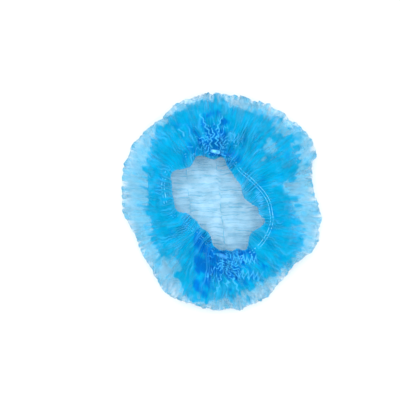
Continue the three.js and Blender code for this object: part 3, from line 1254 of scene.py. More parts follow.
@dataclass(frozen=True)
class ClothFinish:
    """The thin blue nonwoven: translucent, mottled, pressed with a fine grid of bonds, and with painted
    highlight and shade.

    see_through is the share of light that one thickness lets by, fold_layers says how many thicknesses the
    crown's wrinkle lines add, which are partly painted shade, and its row shade, which is painted shade, the
    two streaks how much the fine gathers change the thickness, everywhere and on the walls as well, and each
    relief how high its pattern stands, as a share of relief_depth. The three pairs of layers say between how
    many thicknesses the cloth takes its shallow colour, its deep one and its firm relief. The colour for the
    crests is a painted highlight, laid on the gathers' crests, along the frill's free edge and along the
    crimped pleat edges round the knots.
    """

    thin: tuple[float, float, float] = (0.17, 0.65, 0.92)
    shallow: tuple[float, float, float] = (0.0, 0.40, 0.72)
    deep: tuple[float, float, float] = (0.0, 0.17, 0.58)
    # The colour for the crests: a painted highlight, paler than the cloth.
    crest_highlight: tuple[float, float, float] = (0.06, 0.54, 0.95)
    shallow_layers: tuple[float, float] = (0.6, 2.2)
    deep_layers: tuple[float, float] = (3.2, 6.0)
    firm_layers: tuple[float, float] = (0.9, 2.4)
    see_through: float = 0.64
    roughness: float = 0.7
    fuzz_roughness: float = 0.12
    specular: float = 0.02
    bond_pitch: float = 1.1
    fold_layers: float = 0.5
    streaks: float = 0.75
    wall_streaks: float = 0.9
    highlight_share: float = 0.7
    fuzz_relief: float = 0.35
    thin_relief: float = 0.7
    piled_relief: float = 2.0
    wall_relief: float = 4.0
    crimp_relief: float = 3.0
    relief_depth: float = 0.4 * MM

    def material(self, name: str) -> bpy.types.Material:
        """Builds the cloth's material.

        Args:
            name: The material's name.

        Returns:
            The material, which reads the sheet's own attributes and its pleat map.
        """
        paint = Paint(name)
        carried = ("layers", "crest_highlight", "skirt", "crown", "top")
        layers, crest_highlight, skirt, crown, top = (paint.attribute(number) for number in carried)
        walls = 1.0 - top
        place = paint.place()
        cloud = paint.group(cloudiness_group(), Place=place, Scale=55.0, Fine=900.0)
        crinkle = paint.group(crinkle_group(), Place=place)
        bond = paint.group(bond_group(), Place=paint.map("pleat_map"), Pitch=self.bond_pitch)
        streak = paint.group(streak_group(), Place=paint.carried_place("unrolled"), Scale=230.0)
        lines, ridges = self.crimps(paint, place)

        # The crown's wrinkle lines and row shade thicken the cloth: partly folded cloth, partly painted
        # shade.
        folds = (crinkle["Lines"] + crinkle["Fold"]) * self.fold_layers * crown
        streaked = (streak["Streak"] - 0.5) * skirt * (self.streaks + self.wall_streaks * walls)
        thick = (layers + folds) * (1.0 + streaked) * cloud["Density"]

        colour = paint.mix(layers.ramp(*self.shallow_layers), self.thin, self.shallow)
        colour = paint.mix(layers.ramp(*self.deep_layers), colour, self.deep)
        # Painted highlight: the gathers' crests, the frill's free edge and the knots' crimped pleat edges
        # take a paler colour.
        colour = paint.mix((crest_highlight * self.highlight_share).larger(lines * top), colour, self.crest_highlight)

        piled = layers.ramp(*self.firm_layers)
        firm = self.thin_relief + self.piled_relief * piled + self.wall_relief * walls
        height = self.fuzz_relief * cloud["Fuzz"] + bond["Height"] + crinkle["Height"] * crown
        height = height + streak["Height"] * skirt * firm + self.crimp_relief * ridges * top
        paint.finish(
            paint.tint(colour, cloud["Shade"]),
            alpha=1.0 - self.see_through**thick,
            normal=paint.bump(height, strength=0.6, distance=self.relief_depth),
            roughness=self.roughness + self.fuzz_roughness * cloud["Fuzz"],
            constants={"Specular IOR Level": self.specular},
        )
        return paint.material

    def crimps(self, paint: Paint, place: bpy.types.NodeSocket) -> tuple[Number, Number]:
        """Draws the crimped pleat edges round both knots, with a painted highlight along them.

        Args:
            paint: The material.
            place: The place on the object.

        Returns:
            The painted highlight lines, and the ridges that they lie on.
        """
        fans = [
            paint.group(
                fan_group(), Place=place, X=fan.x * MM, Y=fan.y * MM, Pleats=fan.pleats, Reach=fan.reach * MM
            )
            for fan in FANS
        ]
        rows = [
            paint.group(
                zigzag_group(),
                Place=place,
                X=row.x * MM,
                Y=row.y * MM,
                Turn=math.radians(row.turn),
                HalfLength=row.half_length * MM,
                Swing=row.swing * MM,
                Pitch=row.pitch * MM,
            )
            for row in ZIGZAGS
        ]
        edges = [row["Line"] for row in rows]
        lines = reduce(Number.larger, [fan["Line"] for fan in fans] + edges)
        ridges = reduce(Number.larger, [fan["Height"] for fan in fans] + edges)
        return lines, ridges


@dataclass(frozen=True)
class ThreadFinish:
    """Pale elastic thread, a little uneven in its covering."""

    light: tuple[float, float, float] = (0.22, 0.70, 0.90)
    shade: tuple[float, float, float] = (0.02, 0.50, 0.88)
    roughness: float = 0.5
    fuzz_roughness: float = 0.2
    relief_depth: float = 0.2 * MM
    sheen: float = 0.1
    specular: float = 0.35

    def material(self, name: str) -> bpy.types.Material:
        """Builds the thread's material.

        Args:
            name: The material's name.

        Returns:
            The material.
        """
        paint = Paint(name)
        cloud = paint.group(cloudiness_group(), Place=paint.place(), Scale=330.0, Fine=2600.0)
        paint.finish(
            paint.mix(cloud["Cloud"], self.shade, self.light),
            normal=paint.bump(cloud["Fuzz"], strength=0.6, distance=self.relief_depth),
            roughness=self.roughness + self.fuzz_roughness * cloud["Fuzz"],
            constants={"Sheen Weight": self.sheen, "Specular IOR Level": self.specular},
        )
        return paint.material


@dataclass(frozen=True)
class FusedFinish:
    """The same cloth melted into a solid film: deeper, smoother and a little shiny, with a painted highlight
    in large blotches over part of it.
    """

    # film is a painted highlight, laid in large blotches; the rest of the pad takes the plain colour.
    film: tuple[float, float, float] = (0.16, 0.66, 1.0)
    plain_film: tuple[float, float, float] = (0.02, 0.30, 0.72)
    roughness: float = 0.32
    plain_roughness: float = 0.25
    relief_depth: float = 0.2 * MM
    specular: float = 0.5

    def material(self, name: str) -> bpy.types.Material:
        """Builds the fused film's material.

        Args:
            name: The material's name.

        Returns:
            The material.
        """
        paint = Paint(name)
        cloud = paint.group(cloudiness_group(), Place=paint.place(), Scale=210.0, Fine=3000.0)
        paint.finish(
            # Painted highlight: the film colour in large blotches over the plain colour.
            paint.mix(cloud["Cloud"], self.film, self.plain_film),
            normal=paint.bump(cloud["Fuzz"], strength=0.5, distance=self.relief_depth),
            roughness=self.roughness + self.plain_roughness * cloud["Cloud"],
            constants={"Specular IOR Level": self.specular},
        )
        return paint.material


def bar_node(end: End) -> str:
    """Gives the name of the welded bar at an end."""
    return f"welded_bar_{end.name.lower()}"


@dataclass(frozen=True)
class Zones:
    """How far each point of the sheet belongs to the skirt, its top, its walls and the crown, from 0 to 1."""

    skirt: np.ndarray
    top: np.ndarray
    walls: np.ndarray
    crown: np.ndarray


@dataclass(frozen=True)
class Gathers:
    """The heights of the sheet's fine folds, of its broad tufts and of both together, from about -1 to 1."""

    fine: np.ndarray
    tufts: np.ndarray
    wave: np.ndarray


@dataclass(frozen=True)
class CapCloth:
    """The cap's one sheet, gathered, puckered and fanned out of its knots, with a painted highlight on the
    gathers' crests and along the frill's free edge.

    The shares say how much of each kind of fold the gathers have, and how much deeper and more tufted they
    are on the walls. knot_layers is in thicknesses of cloth, and the four fields before it say by what share
    the mottle, the fine folds and the tufts change the thickness.
    """

    shape: CapShape
    finish: ClothFinish
    columns: int = 640
    gathers: int = 112
    gather_spread: float = 0.15
    thickness: float = 0.3 * MM
    gather_depth: float = 3.4 * MM
    fine_share: float = 0.7
    fine_drift: float = 0.25
    tuft_share: float = 0.55
    wall_tufts: float = 0.1
    wall_fullness: float = 0.25
    tuck_rise: float = 3 * MM
    pucker_depth: float = 2.0 * MM
    # The next four fields set the painted highlight on the gathers' crests and along the frill's free edge.
    highlight_from: float = 0.5
    highlight_share: float = 0.7
    edge_highlight: float = 0.8
    edge_highlight_width: float = 2.5 * MM
    crest_rise: float = 3.2 * MM
    knot_rise: float = 3.5 * MM
    knot_reach: float = 15 * MM
    knot_lumps: float = 1.6 * MM
    mottle_layers: float = 0.2
    fine_layers: float = 0.1
    wall_fine_layers: float = 0.25
    wall_tuft_layers: float = 0.2
    knot_layers: float = 1.8
    knot_calm: float = 0.7
    fan_reach: float = 34 * MM
    fan_start: float = 12 * MM
    fan_sectors: int = 25
    rib_pitch: float = 5.8 * MM
    rib_swing: float = 1.2 * MM
    rib_shift: float = 0.6
    crest_shift: float = 1.6
    crest_level: float = 0.45
    bunching: float = 1.5
    cross_rise: float = 0.7 * MM
    cross_unevenness: float = 0.4
    crease_half_width: float = 8 * MM
    fold_ends: float = 12 * MM
    fold_edge: float = 0.8 * MM
    unrolled_radius: float = 0.1
    flat: tuple[float, float] = (0.50, 0.44)

    def build(self) -> bpy.types.Object:
        """Makes the sheet's closed mesh and dresses it.

        Returns:
            The cap's object, with its material and attributes.
        """
        bearing = np.arange(self.columns) * FULL_TURN / self.columns
        points, rows = self.smooth_rows(bearing)
        points = points + self.shape.origin()
        middle, carried = self.relief(points, rows, bearing)
        middle[..., 2] = np.maximum(middle[..., 2], self.thickness)
        mesh = self.shell(middle, carried, rows)
        cap = bpy.data.objects.new("cap_cloth", mesh)
        bpy.context.collection.objects.link(cap)
        mesh.materials.append(self.finish.material("blue_nonwoven"))
        return cap

    def smooth_rows(self, bearing: np.ndarray) -> tuple[np.ndarray, dict[str, np.ndarray]]:
        """Runs close rows through the guiding rings.

        Args:
            bearing: The columns' bearings in degrees.

        Returns:
            The rows' points, and what the table says for each row, by column name.
        """
        guides = np.stack([self.shape.ring(ring, bearing) for ring in RINGS])
        gaps = np.linalg.norm(np.diff(guides, axis=0), axis=2).mean(axis=1)
        along = np.concatenate([[0], np.cumsum(gaps)])
        places = []
        for k, gap in enumerate(gaps):
            count = max(1, round(gap / (RINGS[k].step * MM)))
            places.extend(along[k] + gap * np.arange(count) / count)
        places = np.array([*places, along[-1]])
        names = ("gather", "pucker", "lift", "upright", "layers")
        rows = {n: np.interp(places, along, [getattr(r, n) for r in RINGS]) for n in names}
        parts = list(Part)
        rows["along"] = places
        rows["part"] = np.interp(places, along, [parts.index(r.part) for r in RINGS])
        return smooth_through(along, guides, places), rows

    def facing(self, points: np.ndarray) -> np.ndarray:
        """Finds the outward direction at each point.

        Args:
            points: A grid of rows that each run round the cap.

        Returns:
            The directions, one for each point.
        """
        round_it = np.roll(points, -1, axis=1) - np.roll(points, 1, axis=1)
        along = np.gradient(points, axis=0)
        out = np.cross(round_it, along)
        return out / np.maximum(np.linalg.norm(out, axis=2, keepdims=True), 1e-12)

    def zones(self, points: np.ndarray, rows: dict[str, np.ndarray]) -> Zones:
        """Splits the sheet into its zones, by height and by part.

        Args:
            points: The smooth grid.
            rows: What the table says for each row.

        Returns:
            The zones.
        """
        share_up = points[..., 2] / self.shape.skirt_height
        part = rows["part"][:, None]
        skirt = np.maximum(smooth_step(*SKIRT_PARTS, part), smooth_step(*SKIRT_HEIGHTS, share_up))
        top = np.maximum(smooth_step(*TOP_HEIGHTS, share_up), smooth_step(*TOP_PARTS, part))
        crown = (1 - skirt) * (1 - smooth_step(*CROWN_HEIGHTS, points[..., 2]))
        return Zones(skirt, top, skirt * (1 - top), crown)

    def folds(self, points: np.ndarray, along: np.ndarray, turn: np.ndarray, zones: Zones) -> Gathers:
        """Makes the gathers' waves, bent so that no two run alike.

        Args:
            points: The smooth grid.
            along: Each row's distance from the middle of the crown.
            turn: The columns' angles.
            zones: The sheet's zones.

        Returns:
            The gathers.
        """
        bent = turn + blend(BENDS, points) * zones.skirt
        fewest, most = (round(self.gathers * (1 + way * self.gather_spread)) for way in (-1, 1))
        fine = Streaks(fewest, most, waves=9, run=50, seed=11).at(bent, along)
        tufts = TUFTS.at(bent, along)
        wave = (self.fine_share + self.fine_drift * FINE_DRIFT.at(points)) * fine
        return Gathers(fine, tufts, wave + (self.tuft_share + self.wall_tufts * zones.walls) * tufts)

    def relief(
        self, points: np.ndarray, rows: dict[str, np.ndarray], bearing: np.ndarray
    ) -> tuple[np.ndarray, dict[str, np.ndarray]]:
        """Raises the gathers, puckers, folds and fans on the smooth sheet.

        Args:
            points: The smooth grid.
            rows: What the table says for each row.
            bearing: The columns' bearings.

        Returns:
            The wrinkled grid, and the numbers that the sheet carries for its material, its painted highlight
            among them.
        """
        start = self.shape.rim_bearing(bearing)
        turn = np.radians(bearing)[None, :]
        along = rows["along"][:, None]
        zones = self.zones(points, rows)
        gathers = self.folds(points, along, turn, zones)
        result = self.gathered(points, rows, start, zones, gathers)
        result = self.ragged_edge(result, rows, start, turn)

        layers = self.thicknesses(points, rows, turn) + self.patched(points) * zones.top
        # A painted highlight on the gathers' crests, calmed in the knots below.
        crest_highlight = np.clip(gathers.wave - self.highlight_from, 0, 1) * self.highlight_share * zones.skirt
        x, y = points[..., 0], points[..., 1]
        for edge in FOLD_EDGES:
            folded = self.folded(edge, x, y) * zones.top
            result[..., 2] += edge.rise * MM * folded
            layers += edge.layers * folded
        for knot in self.knots():
            rise, bunch = self.fan(knot, result)
            result[..., 2] += rise * zones.skirt
            crest_highlight *= 1 - self.knot_calm * bunch * zones.skirt
            layers += self.knot_layers * bunch * zones.skirt
        result[..., 2] += self.crown_relief(x, y) * zones.crown
        layers *= self.unevenness(points, zones, gathers)
        # A painted highlight along the frill's free edge.
        lit_edge = smooth_step(along[-1] - self.edge_highlight_width, along[-1], along)
        carried = {
            "layers": np.clip(layers, *LAYER_RANGE),
            "crest_highlight": np.clip(np.maximum(crest_highlight, lit_edge * self.edge_highlight), 0, 1),
            "skirt": zones.skirt,
            "crown": zones.crown,
            "top": zones.top,
        }
        return result, carried

    def gathered(
        self,
        points: np.ndarray,
        rows: dict[str, np.ndarray],
        start: np.ndarray,
        zones: Zones,
        gathers: Gathers,
    ) -> np.ndarray:
        """Pushes the smooth sheet out by its gathers, puckers and tuck.

        Args:
            points: The smooth grid.
            rows: What the table says for each row.
            start: The columns' bearings round the opening.
            zones: The sheet's zones.
            gathers: The gathers' waves.

        Returns:
            The pushed grid.
        """
        depth = self.gather_depth * rows["gather"][:, None] * around(RIM, "gather", start)[None, :]
        depth = depth * (1 + self.wall_fullness * zones.walls)
        out = depth / 2 * gathers.wave
        out = out + self.pucker_depth * rows["pucker"][:, None] * blend(PUCKERS, points)
        out = out + self.tuck_rise * rows["lift"][:, None]
        upright = rows["upright"][:, None, None]
        way = self.facing(points) * (1 - upright) + np.array([0, 0, 1]) * upright
        way /= np.linalg.norm(way, axis=2, keepdims=True)
        return points + way * out[..., None]

    def thicknesses(self, points: np.ndarray, rows: dict[str, np.ndarray], turn: np.ndarray) -> np.ndarray:
        """Says how many thicknesses of cloth lie at each point, with a feathered start to the folded band.

        Args:
            points: The smooth grid.
            rows: What the table says for each row.
            turn: The columns' angles.

        Returns:
            The number of thicknesses.
        """
        along = rows["along"]
        feather = BAND_SWAY * BAND_SWAYS.at(points) + BAND_TOOTH * BAND_TEETH.at(turn, along[:, None])
        near_puff = np.abs(rows["part"] - list(Part).index(Part.PUFF)) < BAND_PARTS
        shifted = along[:, None] + feather * MM * near_puff[:, None]
        looked = [np.interp((shifted + blur * MM).ravel(), along, rows["layers"]) for blur in BAND_BLUR]
        return np.mean(looked, axis=0).reshape(shifted.shape)

    def patched(self, points: np.ndarray) -> np.ndarray:
        """Says how many thicknesses the patches add, a few of them as painted shade.

        Args:
            points: The smooth grid.

        Returns:
            The added thicknesses, below 0 where a patch is thinner.
        """
        uneven = blend(PATCH_EDGES, points)
        added = np.zeros(points.shape[:-1])
        for patch in PATCHES:
            x = (points[..., 0] / MM - patch.x) / patch.half_x
            y = (points[..., 1] / MM - patch.y) / patch.half_y
            added += patch.layers * (1 - smooth_step(*PATCH_FADE, np.hypot(x, y) + uneven))
        return added

    def unevenness(self, points: np.ndarray, zones: Zones, gathers: Gathers) -> np.ndarray:
        """Says how much the mottle, the gathers and the tufts change the cloth's thickness.

        Args:
            points: The smooth grid.
            zones: The sheet's zones.
            gathers: The gathers' waves.

        Returns:
            What the thickness is multiplied by.
        """
        skirt_share = self.mottle_layers * blend(MOTTLE, points) + self.fine_layers * gathers.fine
        wall_share = self.wall_fine_layers * gathers.fine + self.wall_tuft_layers * gathers.tufts
        return 1 + skirt_share * zones.skirt + wall_share * zones.walls

    def ragged_edge(
        self, points: np.ndarray, rows: dict[str, np.ndarray], start: np.ndarray, turn: np.ndarray
    ) -> np.ndarray:
        """Pushes the frill's free edge in and out, so that it hangs unevenly.

        Args:
            points: The grid.
            rows: What the table says for each row.
            start: The columns' bearings round the opening.
            turn: The columns' angles.

        Returns:
            The grid with its uneven edge.
        """
        free = smooth_step(*FREE_PARTS, rows["part"])[:, None]
        uneven = EDGE_SWAY * EDGE_SWAYS.at(turn, 0.0) + EDGE_TOOTH * EDGE_TEETH.at(turn, 0.0)
        return points + self.shape.inward(start)[None] * (uneven * MM * free)[..., None]

    def folded(self, edge: FoldEdge, x: np.ndarray, y: np.ndarray) -> np.ndarray:
        """Says how much of a fold lies at each point: sharp at its edge and fading behind it.

        Args:
            edge: The folded edge.
            x: The points' x.
            y: The points' y.

        Returns:
            0 where there is none, up to 1 behind the edge.
        """
        start, end = np.array(edge.start) * MM, np.array(edge.end) * MM
        length = np.linalg.norm(end - start)
        along = (end - start) / length
        run = (x - start[0]) * along[0] + (y - start[1]) * along[1]
        behind = -(x - start[0]) * along[1] + (y - start[1]) * along[0]
        ends = smooth_step(0, self.fold_ends, run) * smooth_step(0, self.fold_ends, length - run)
        sharp = smooth_step(-self.fold_edge, self.fold_edge, behind)
        return ends * sharp * (1 - smooth_step(0, edge.spread * MM, behind))

    def knots(self) -> tuple[Knot, ...]:
        """Places the two knots, each at its welded bar.

        Returns:
            The knots.
        """
        found = []
        for end, crests, seed in ((End.BACK, 26, 41), (End.FRONT, 28, 42)):
            low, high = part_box(bar_node(end))
            found.append(Knot((low[0] + high[0]) / 2, (low[1] + high[1]) / 2, crests, seed))
        return tuple(found)

    def fan(self, knot: Knot, points: np.ndarray) -> tuple[np.ndarray, np.ndarray]:
        """Fans broad pleats out of a knot.

        Args:
            knot: The knot.
            points: The sheet's points.

        Returns:
            The pleats' rise, and how bunched the cloth is.
        """
        dx, dy = points[..., 0] - knot.x, points[..., 1] - knot.y
        far = np.maximum(np.hypot(dx, dy), 1 * MM)
        near = np.exp(-((far / self.fan_reach) ** 2))
        turn = np.arctan2(dy, dx)
        rng = np.random.default_rng(knot.seed)
        sectors = np.linspace(-math.pi, math.pi, self.fan_sectors)
        offset = np.interp(turn, sectors, rng.uniform(-1, 1, self.fan_sectors))
        zig = np.abs(np.mod(far / self.rib_pitch + offset * self.rib_shift, 1) - 0.5) * 4 - 1
        phase = knot.crests * (turn + self.rib_swing * zig / far) + self.crest_shift * offset
        ridge = np.abs(np.mod(phase / (2 * math.pi), 1) - 0.5) * 2
        height = self.crest_rise * np.minimum(1, far / self.fan_start) * near
        lumps = self.knot_lumps * near * Ripples(wavelength=11, waves=8, seed=knot.seed + 5).at(points)
        lump = self.knot_rise * np.exp(-((far / self.knot_reach) ** 2))
        return height * (ridge - self.crest_level) + lumps + lump, near**self.bunching

    def crown_relief(self, x: np.ndarray, y: np.ndarray) -> np.ndarray:
        """Raises the crown's long creases and its low cross ribs off the floor.

        Args:
            x: The points' x.
            y: The points' y.

        Returns:
            The rise, in metres.
        """
        rise = np.zeros_like(x)
        column = np.zeros_like(x)
        for crease in CREASES:
            share = (y / MM - crease.start[1]) / (crease.end[1] - crease.start[1])
            off = x - (crease.start[0] + share * (crease.end[0] - crease.start[0])) * MM
            ridge = np.clip(1 - np.abs(off) / self.crease_half_width, 0, 1)
            rise = np.maximum(rise, crease.rise * MM * ridge)
            column = column + COLUMN_SHIFT * smooth_step(-MM, MM, off)
        ribs = 0.5 + 0.5 * np.cos(2 * math.pi * (y / (ROW_PITCH * MM) + column))
        flat = np.stack([x, y, np.zeros_like(x)], axis=-1)
        drift = self.cross_unevenness
        return rise + self.cross_rise * ribs * (1 - drift + drift * CROSS_DRIFT.at(flat))

    def shell(
        self, middle: np.ndarray, carried: dict[str, np.ndarray], rows: dict[str, np.ndarray]
    ) -> bpy.types.Mesh:
        """Closes the grid into a thin shell, with fewer columns towards the middle of the crown.

        Args:
            middle: The sheet's middle surface.
            carried: Numbers that each point carries.
            rows: What the table says for each row.

        Returns:
            The mesh.
        """
        facing = self.facing(middle)
        strides = self.strides(middle)
        places, faces, loops, edges = [], [], {name: [] for name in carried}, []
        for side in (1, -1):
            first = len(places)
            start = []
            for i, stride in enumerate(strides):
                start.append(len(places))
                places.extend(middle[i, ::stride] + facing[i, ::stride] * side * self.thickness / 2)
                for name, values in carried.items():
                    loops[name].extend(values[i, ::stride])
            hub = len(places)
            places.append(np.mean(places[first : first + self.columns // strides[0]], axis=0))
            for name, values in carried.items():
                loops[name].append(values[0].mean())
            self.weave(faces, start, strides, hub, side)
            edges.append(start[-1])
        outer, inner = edges
        for j in range(self.columns):
            following = (j + 1) % self.columns
            faces.append((outer + j, outer + following, inner + following, inner + j))
        mesh = bpy.data.meshes.new("cap_cloth")
        mesh.from_pydata([tuple(p) for p in places], [], faces)
        mesh.shade_smooth()
        for name, values in loops.items():
            layer = mesh.attributes.new(name, "FLOAT", "POINT")
            layer.data.foreach_set("value", np.array(values, dtype=np.float32))
        self.unrolled(mesh, strides, rows["along"])
        self.pleat_map(mesh)
        mesh.validate()
        return mesh

    def strides(self, middle: np.ndarray) -> list[int]:
        """Says how many columns each row skips, so that the faces near the middle aren't slivers.

        Args:
            middle: The sheet's middle surface.

        Returns:
            The stride of each row, which never grows again once it has come down to 1.
        """
        reach = np.hypot(middle[..., 0], middle[..., 1]).mean(axis=1)
        found = [next((row.columns for row in STRIDES if r < row.reach * MM), 1) for r in reach]
        first_full = found.index(1)
        return found[:first_full] + [1] * (len(found) - first_full)

    def weave(self, faces: list, start: list[int], strides: list[int], hub: int, side: int) -> None:
        """Joins rows of points with faces that look outwards on their own side.

        Args:
            faces: Where the faces go.
            start: The first point of each row.
            strides: How many columns each row skips.
            hub: The point at the middle of the crown.
            side: 1 for the outer surface and -1 for the inner one.
        """
        count = self.columns // strides[0]
        flip = (lambda face: face) if side == 1 else (lambda face: tuple(reversed(face)))
        for j in range(count):
            faces.append(flip((hub, start[0] + (j + 1) % count, start[0] + j)))
        for i in range(len(start) - 1):
            near, far = self.columns // strides[i], self.columns // strides[i + 1]
            times = far // near
            for j in range(near):
                a, b = start[i] + j, start[i] + (j + 1) % near
                c = [start[i + 1] + (j * times + k) % far for k in range(times + 1)]
                if times == 1:
                    faces.append(flip((a, b, c[1], c[0])))
                else:
                    faces.append(flip((a, c[1], c[0])))
                    faces.append(flip((a, b, c[1])))
                    faces.append(flip((b, c[2], c[1])))

    def unrolled(self, mesh: bpy.types.Mesh, strides: list[int], along: np.ndarray) -> None:
        """Gives each point its place on the sheet rolled into a tube, so that streaks follow the sheet.

        Args:
            mesh: The sheet's mesh.
            strides: How many columns each row skips.
            along: Each row's distance from the middle of the crown.
        """
        radius = self.unrolled_radius
        side = []
        for stride, way in zip(strides, along):
            turn = np.arange(0, self.columns, stride) * 2 * math.pi / self.columns
            side.extend(zip(radius * np.cos(turn), radius * np.sin(turn), np.full(len(turn), way)))
        side.append((0.0, 0.0, 0.0))
        layer = mesh.attributes.new("unrolled", "FLOAT_VECTOR", "POINT")
        layer.data.foreach_set("vector", np.array(side * 2, dtype=np.float32).ravel())

    def pleat_map(self, mesh: bpy.types.Mesh) -> None:
        """Lays a map in metres on the sheet: across the crown as it lies, and leaning with the walls' height.

        Args:
            mesh: The sheet's mesh.
        """
        lean_across, lean_up = 0.35, 0.8
        places = np.empty(len(mesh.vertices) * 3)
        mesh.vertices.foreach_get("co", places)
        places = places.reshape(-1, 3)
        corner = np.empty(len(mesh.loops), dtype=int)
        mesh.loops.foreach_get("vertex_index", corner)
        across = places[:, 0] + lean_across * places[:, 2]
        up = places[:, 1] + lean_up * places[:, 2]
        layer = mesh.uv_layers.new(name="pleat_map")
        layer.data.foreach_set("uv", np.stack([across, up], axis=1)[corner].astype(np.float32).ravel())


@dataclass(frozen=True)
class ElasticPair:
    """The two threads along one side of the opening, tacked to the gathers.

    pitch is the distance between the two, end_gap how far each stays from a weld, and the two shares say
    how much of the gathers' depth and of the tuck's rise the elastic's own line has.
    """

    shape: CapShape
    side: Side
    material: bpy.types.Material
    cloth: CapCloth
    radius: float = 0.4 * MM
    sides: int = 10
    pitch: float = 3.6 * MM
    end_gap: float = 7.5 * MM
    gather_share: float = 0.8
    tuck_share: float = 0.4
    sway: float = 0.3 * MM
    steps: int = 260

    def build(self) -> list[bpy.types.Object]:
        """Makes the two threads of this side.

        Returns:
            The threads' objects, outer and inner.
        """
        made = []
        for name, across in (("outer", -self.pitch / 2), ("inner", self.pitch / 2)):
            node = f"elastic_{self.side.value}_{name}"
            thread = self.thread(f"thread_{self.side.value}_{name}", self.path(across))
            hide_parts(node)
            made.append(thread)
        return made

    def path(self, across: float) -> np.ndarray:
        """Lays one thread over the gathers, from one weld to the other.

        Args:
            across: How far towards the middle of the opening it runs from the elastic's own line.

        Returns:
            The thread's points.
        """
        ends = (End.BACK.value, End.FRONT.value)
        if self.side is Side.RIGHT:
            ends = (End.FRONT.value, End.BACK.value + FULL_TURN)
        gap = math.degrees(self.end_gap / (self.shape.opening_width / 2))
        bearing = np.linspace(ends[0] + gap, ends[1] - gap, self.steps)
        start = self.shape.rim_bearing(bearing)
        points = self.shape.rim(start) + self.shape.inward(start) * across
        depth = self.cloth.gather_depth * self.gather_share * around(RIM, "gather", start)
        rise = self.cloth.tuck_rise * self.tuck_share + depth / 2
        sunk = around(SUNK, "depth", start) * MM
        wave = self.sway * np.sin(np.radians(self.cloth.gathers * bearing))
        points[:, 2] = self.shape.rim_height(start) + rise - sunk + wave
        return points + self.shape.origin()

    def thread(self, name: str, path: np.ndarray) -> bpy.types.Object:
        """Sweeps a round thread along a path with Geometry Nodes, and makes it a plain mesh.

        Args:
            name: The object's name.
            path: The thread's points.

        Returns:
            The object.
        """
        curve = bpy.data.curves.new(name + "_line", "CURVE")
        curve.dimensions = "3D"
        spline = curve.splines.new("POLY")
        spline.points.add(len(path) - 1)
        spline.points.foreach_set("co", np.concatenate([path, np.ones((len(path), 1))], axis=1).ravel())
        source = bpy.data.objects.new(name + "_line", curve)
        values = {"Radius": self.radius, "Sides": self.sides, "Finish": self.material}
        return settle(source, thread_tree(), values, name)


def new_tree(name: str, inputs: dict[str, str]) -> tuple[bpy.types.NodeTree, bpy.types.bpy_prop_collection]:
    """Starts a Geometry Nodes tree, with Geometry as its first input and its output.

    Args:
        name: The tree's name.
        inputs: The kinds of its other inputs, by name.

    Returns:
        The tree and its inputs by name.
    """
    tree = bpy.data.node_groups.new(name, "GeometryNodeTree")
    for socket, kind in ({"Geometry": "Geometry"} | inputs).items():
        tree.interface.new_socket(socket, in_out="INPUT", socket_type=f"NodeSocket{kind}")
    tree.interface.new_socket("Geometry", in_out="OUTPUT", socket_type="NodeSocketGeometry")
    return tree, tree.nodes.new("NodeGroupInput").outputs


def end_tree(tree: bpy.types.NodeTree, geometry: bpy.types.NodeSocket, finish: bpy.types.NodeSocket) -> None:
    """Ends a Geometry Nodes tree: makes the copies real, sets the material and puts the mesh out.

    Args:
        tree: The tree.
        geometry: What it made.
        finish: The material that its parts get.
    """
    real = tree.nodes.new("GeometryNodeRealizeInstances")
    dress = tree.nodes.new("GeometryNodeSetMaterial")
    out = tree.nodes.new("NodeGroupOutput")
    feed(tree, geometry, real.inputs["Geometry"])
    feed(tree, real.outputs["Geometry"], dress.inputs["Geometry"])
    feed(tree, finish, dress.inputs["Material"])
    feed(tree, dress.outputs["Geometry"], out.inputs["Geometry"])


@cache
def thread_tree() -> bpy.types.NodeTree:
    """Builds, once, the tree that sweeps a round section along a line.

    Returns:
        The tree, with Geometry, Radius, Sides and Finish in.
    """
    tree, given = new_tree("sweep_thread", {"Radius": "Float", "Sides": "Int", "Finish": "Material"})
    section = add_node(tree, "GeometryNodeCurvePrimitiveCircle")
    feed(tree, given["Sides"], section.inputs["Resolution"])
    feed(tree, given["Radius"], section.inputs["Radius"])
    tube = add_node(tree, "GeometryNodeCurveToMesh")
    tube.inputs["Fill Caps"].default_value = True
    feed(tree, given["Geometry"], tube.inputs["Curve"])
    feed(tree, section.outputs["Curve"], tube.inputs["Profile Curve"])
    end_tree(tree, tube.outputs["Mesh"], given["Finish"])
    return tree


def settle(
    source: bpy.types.Object, tree: bpy.types.NodeTree, values: dict[str, object], name: str
) -> bpy.types.Object:
    """Runs a Geometry Nodes tree on an object, makes the result a plain mesh and removes the source.

    Args:
        source: The object that the tree starts from.
        tree: The tree.
        values: Values for the tree's inputs, by name.
        name: The new object's name.

    Returns:
        The plain mesh object.
    """
    bpy.context.collection.objects.link(source)
    modifier = source.modifiers.new("shape", "NODES")
    modifier.node_group = tree
    for item in tree.interface.items_tree:
        if item.item_type == "SOCKET" and item.in_out == "INPUT" and item.name in values:
            modifier[item.identifier] = values[item.name]
    ready = source.evaluated_get(bpy.context.evaluated_depsgraph_get())
    mesh = bpy.data.meshes.new_from_object(ready)
    mesh.name = name
    mesh.shade_smooth()
    made = bpy.data.objects.new(name, mesh)
    bpy.context.collection.objects.link(made)
    bpy.data.objects.remove(source)
    return made


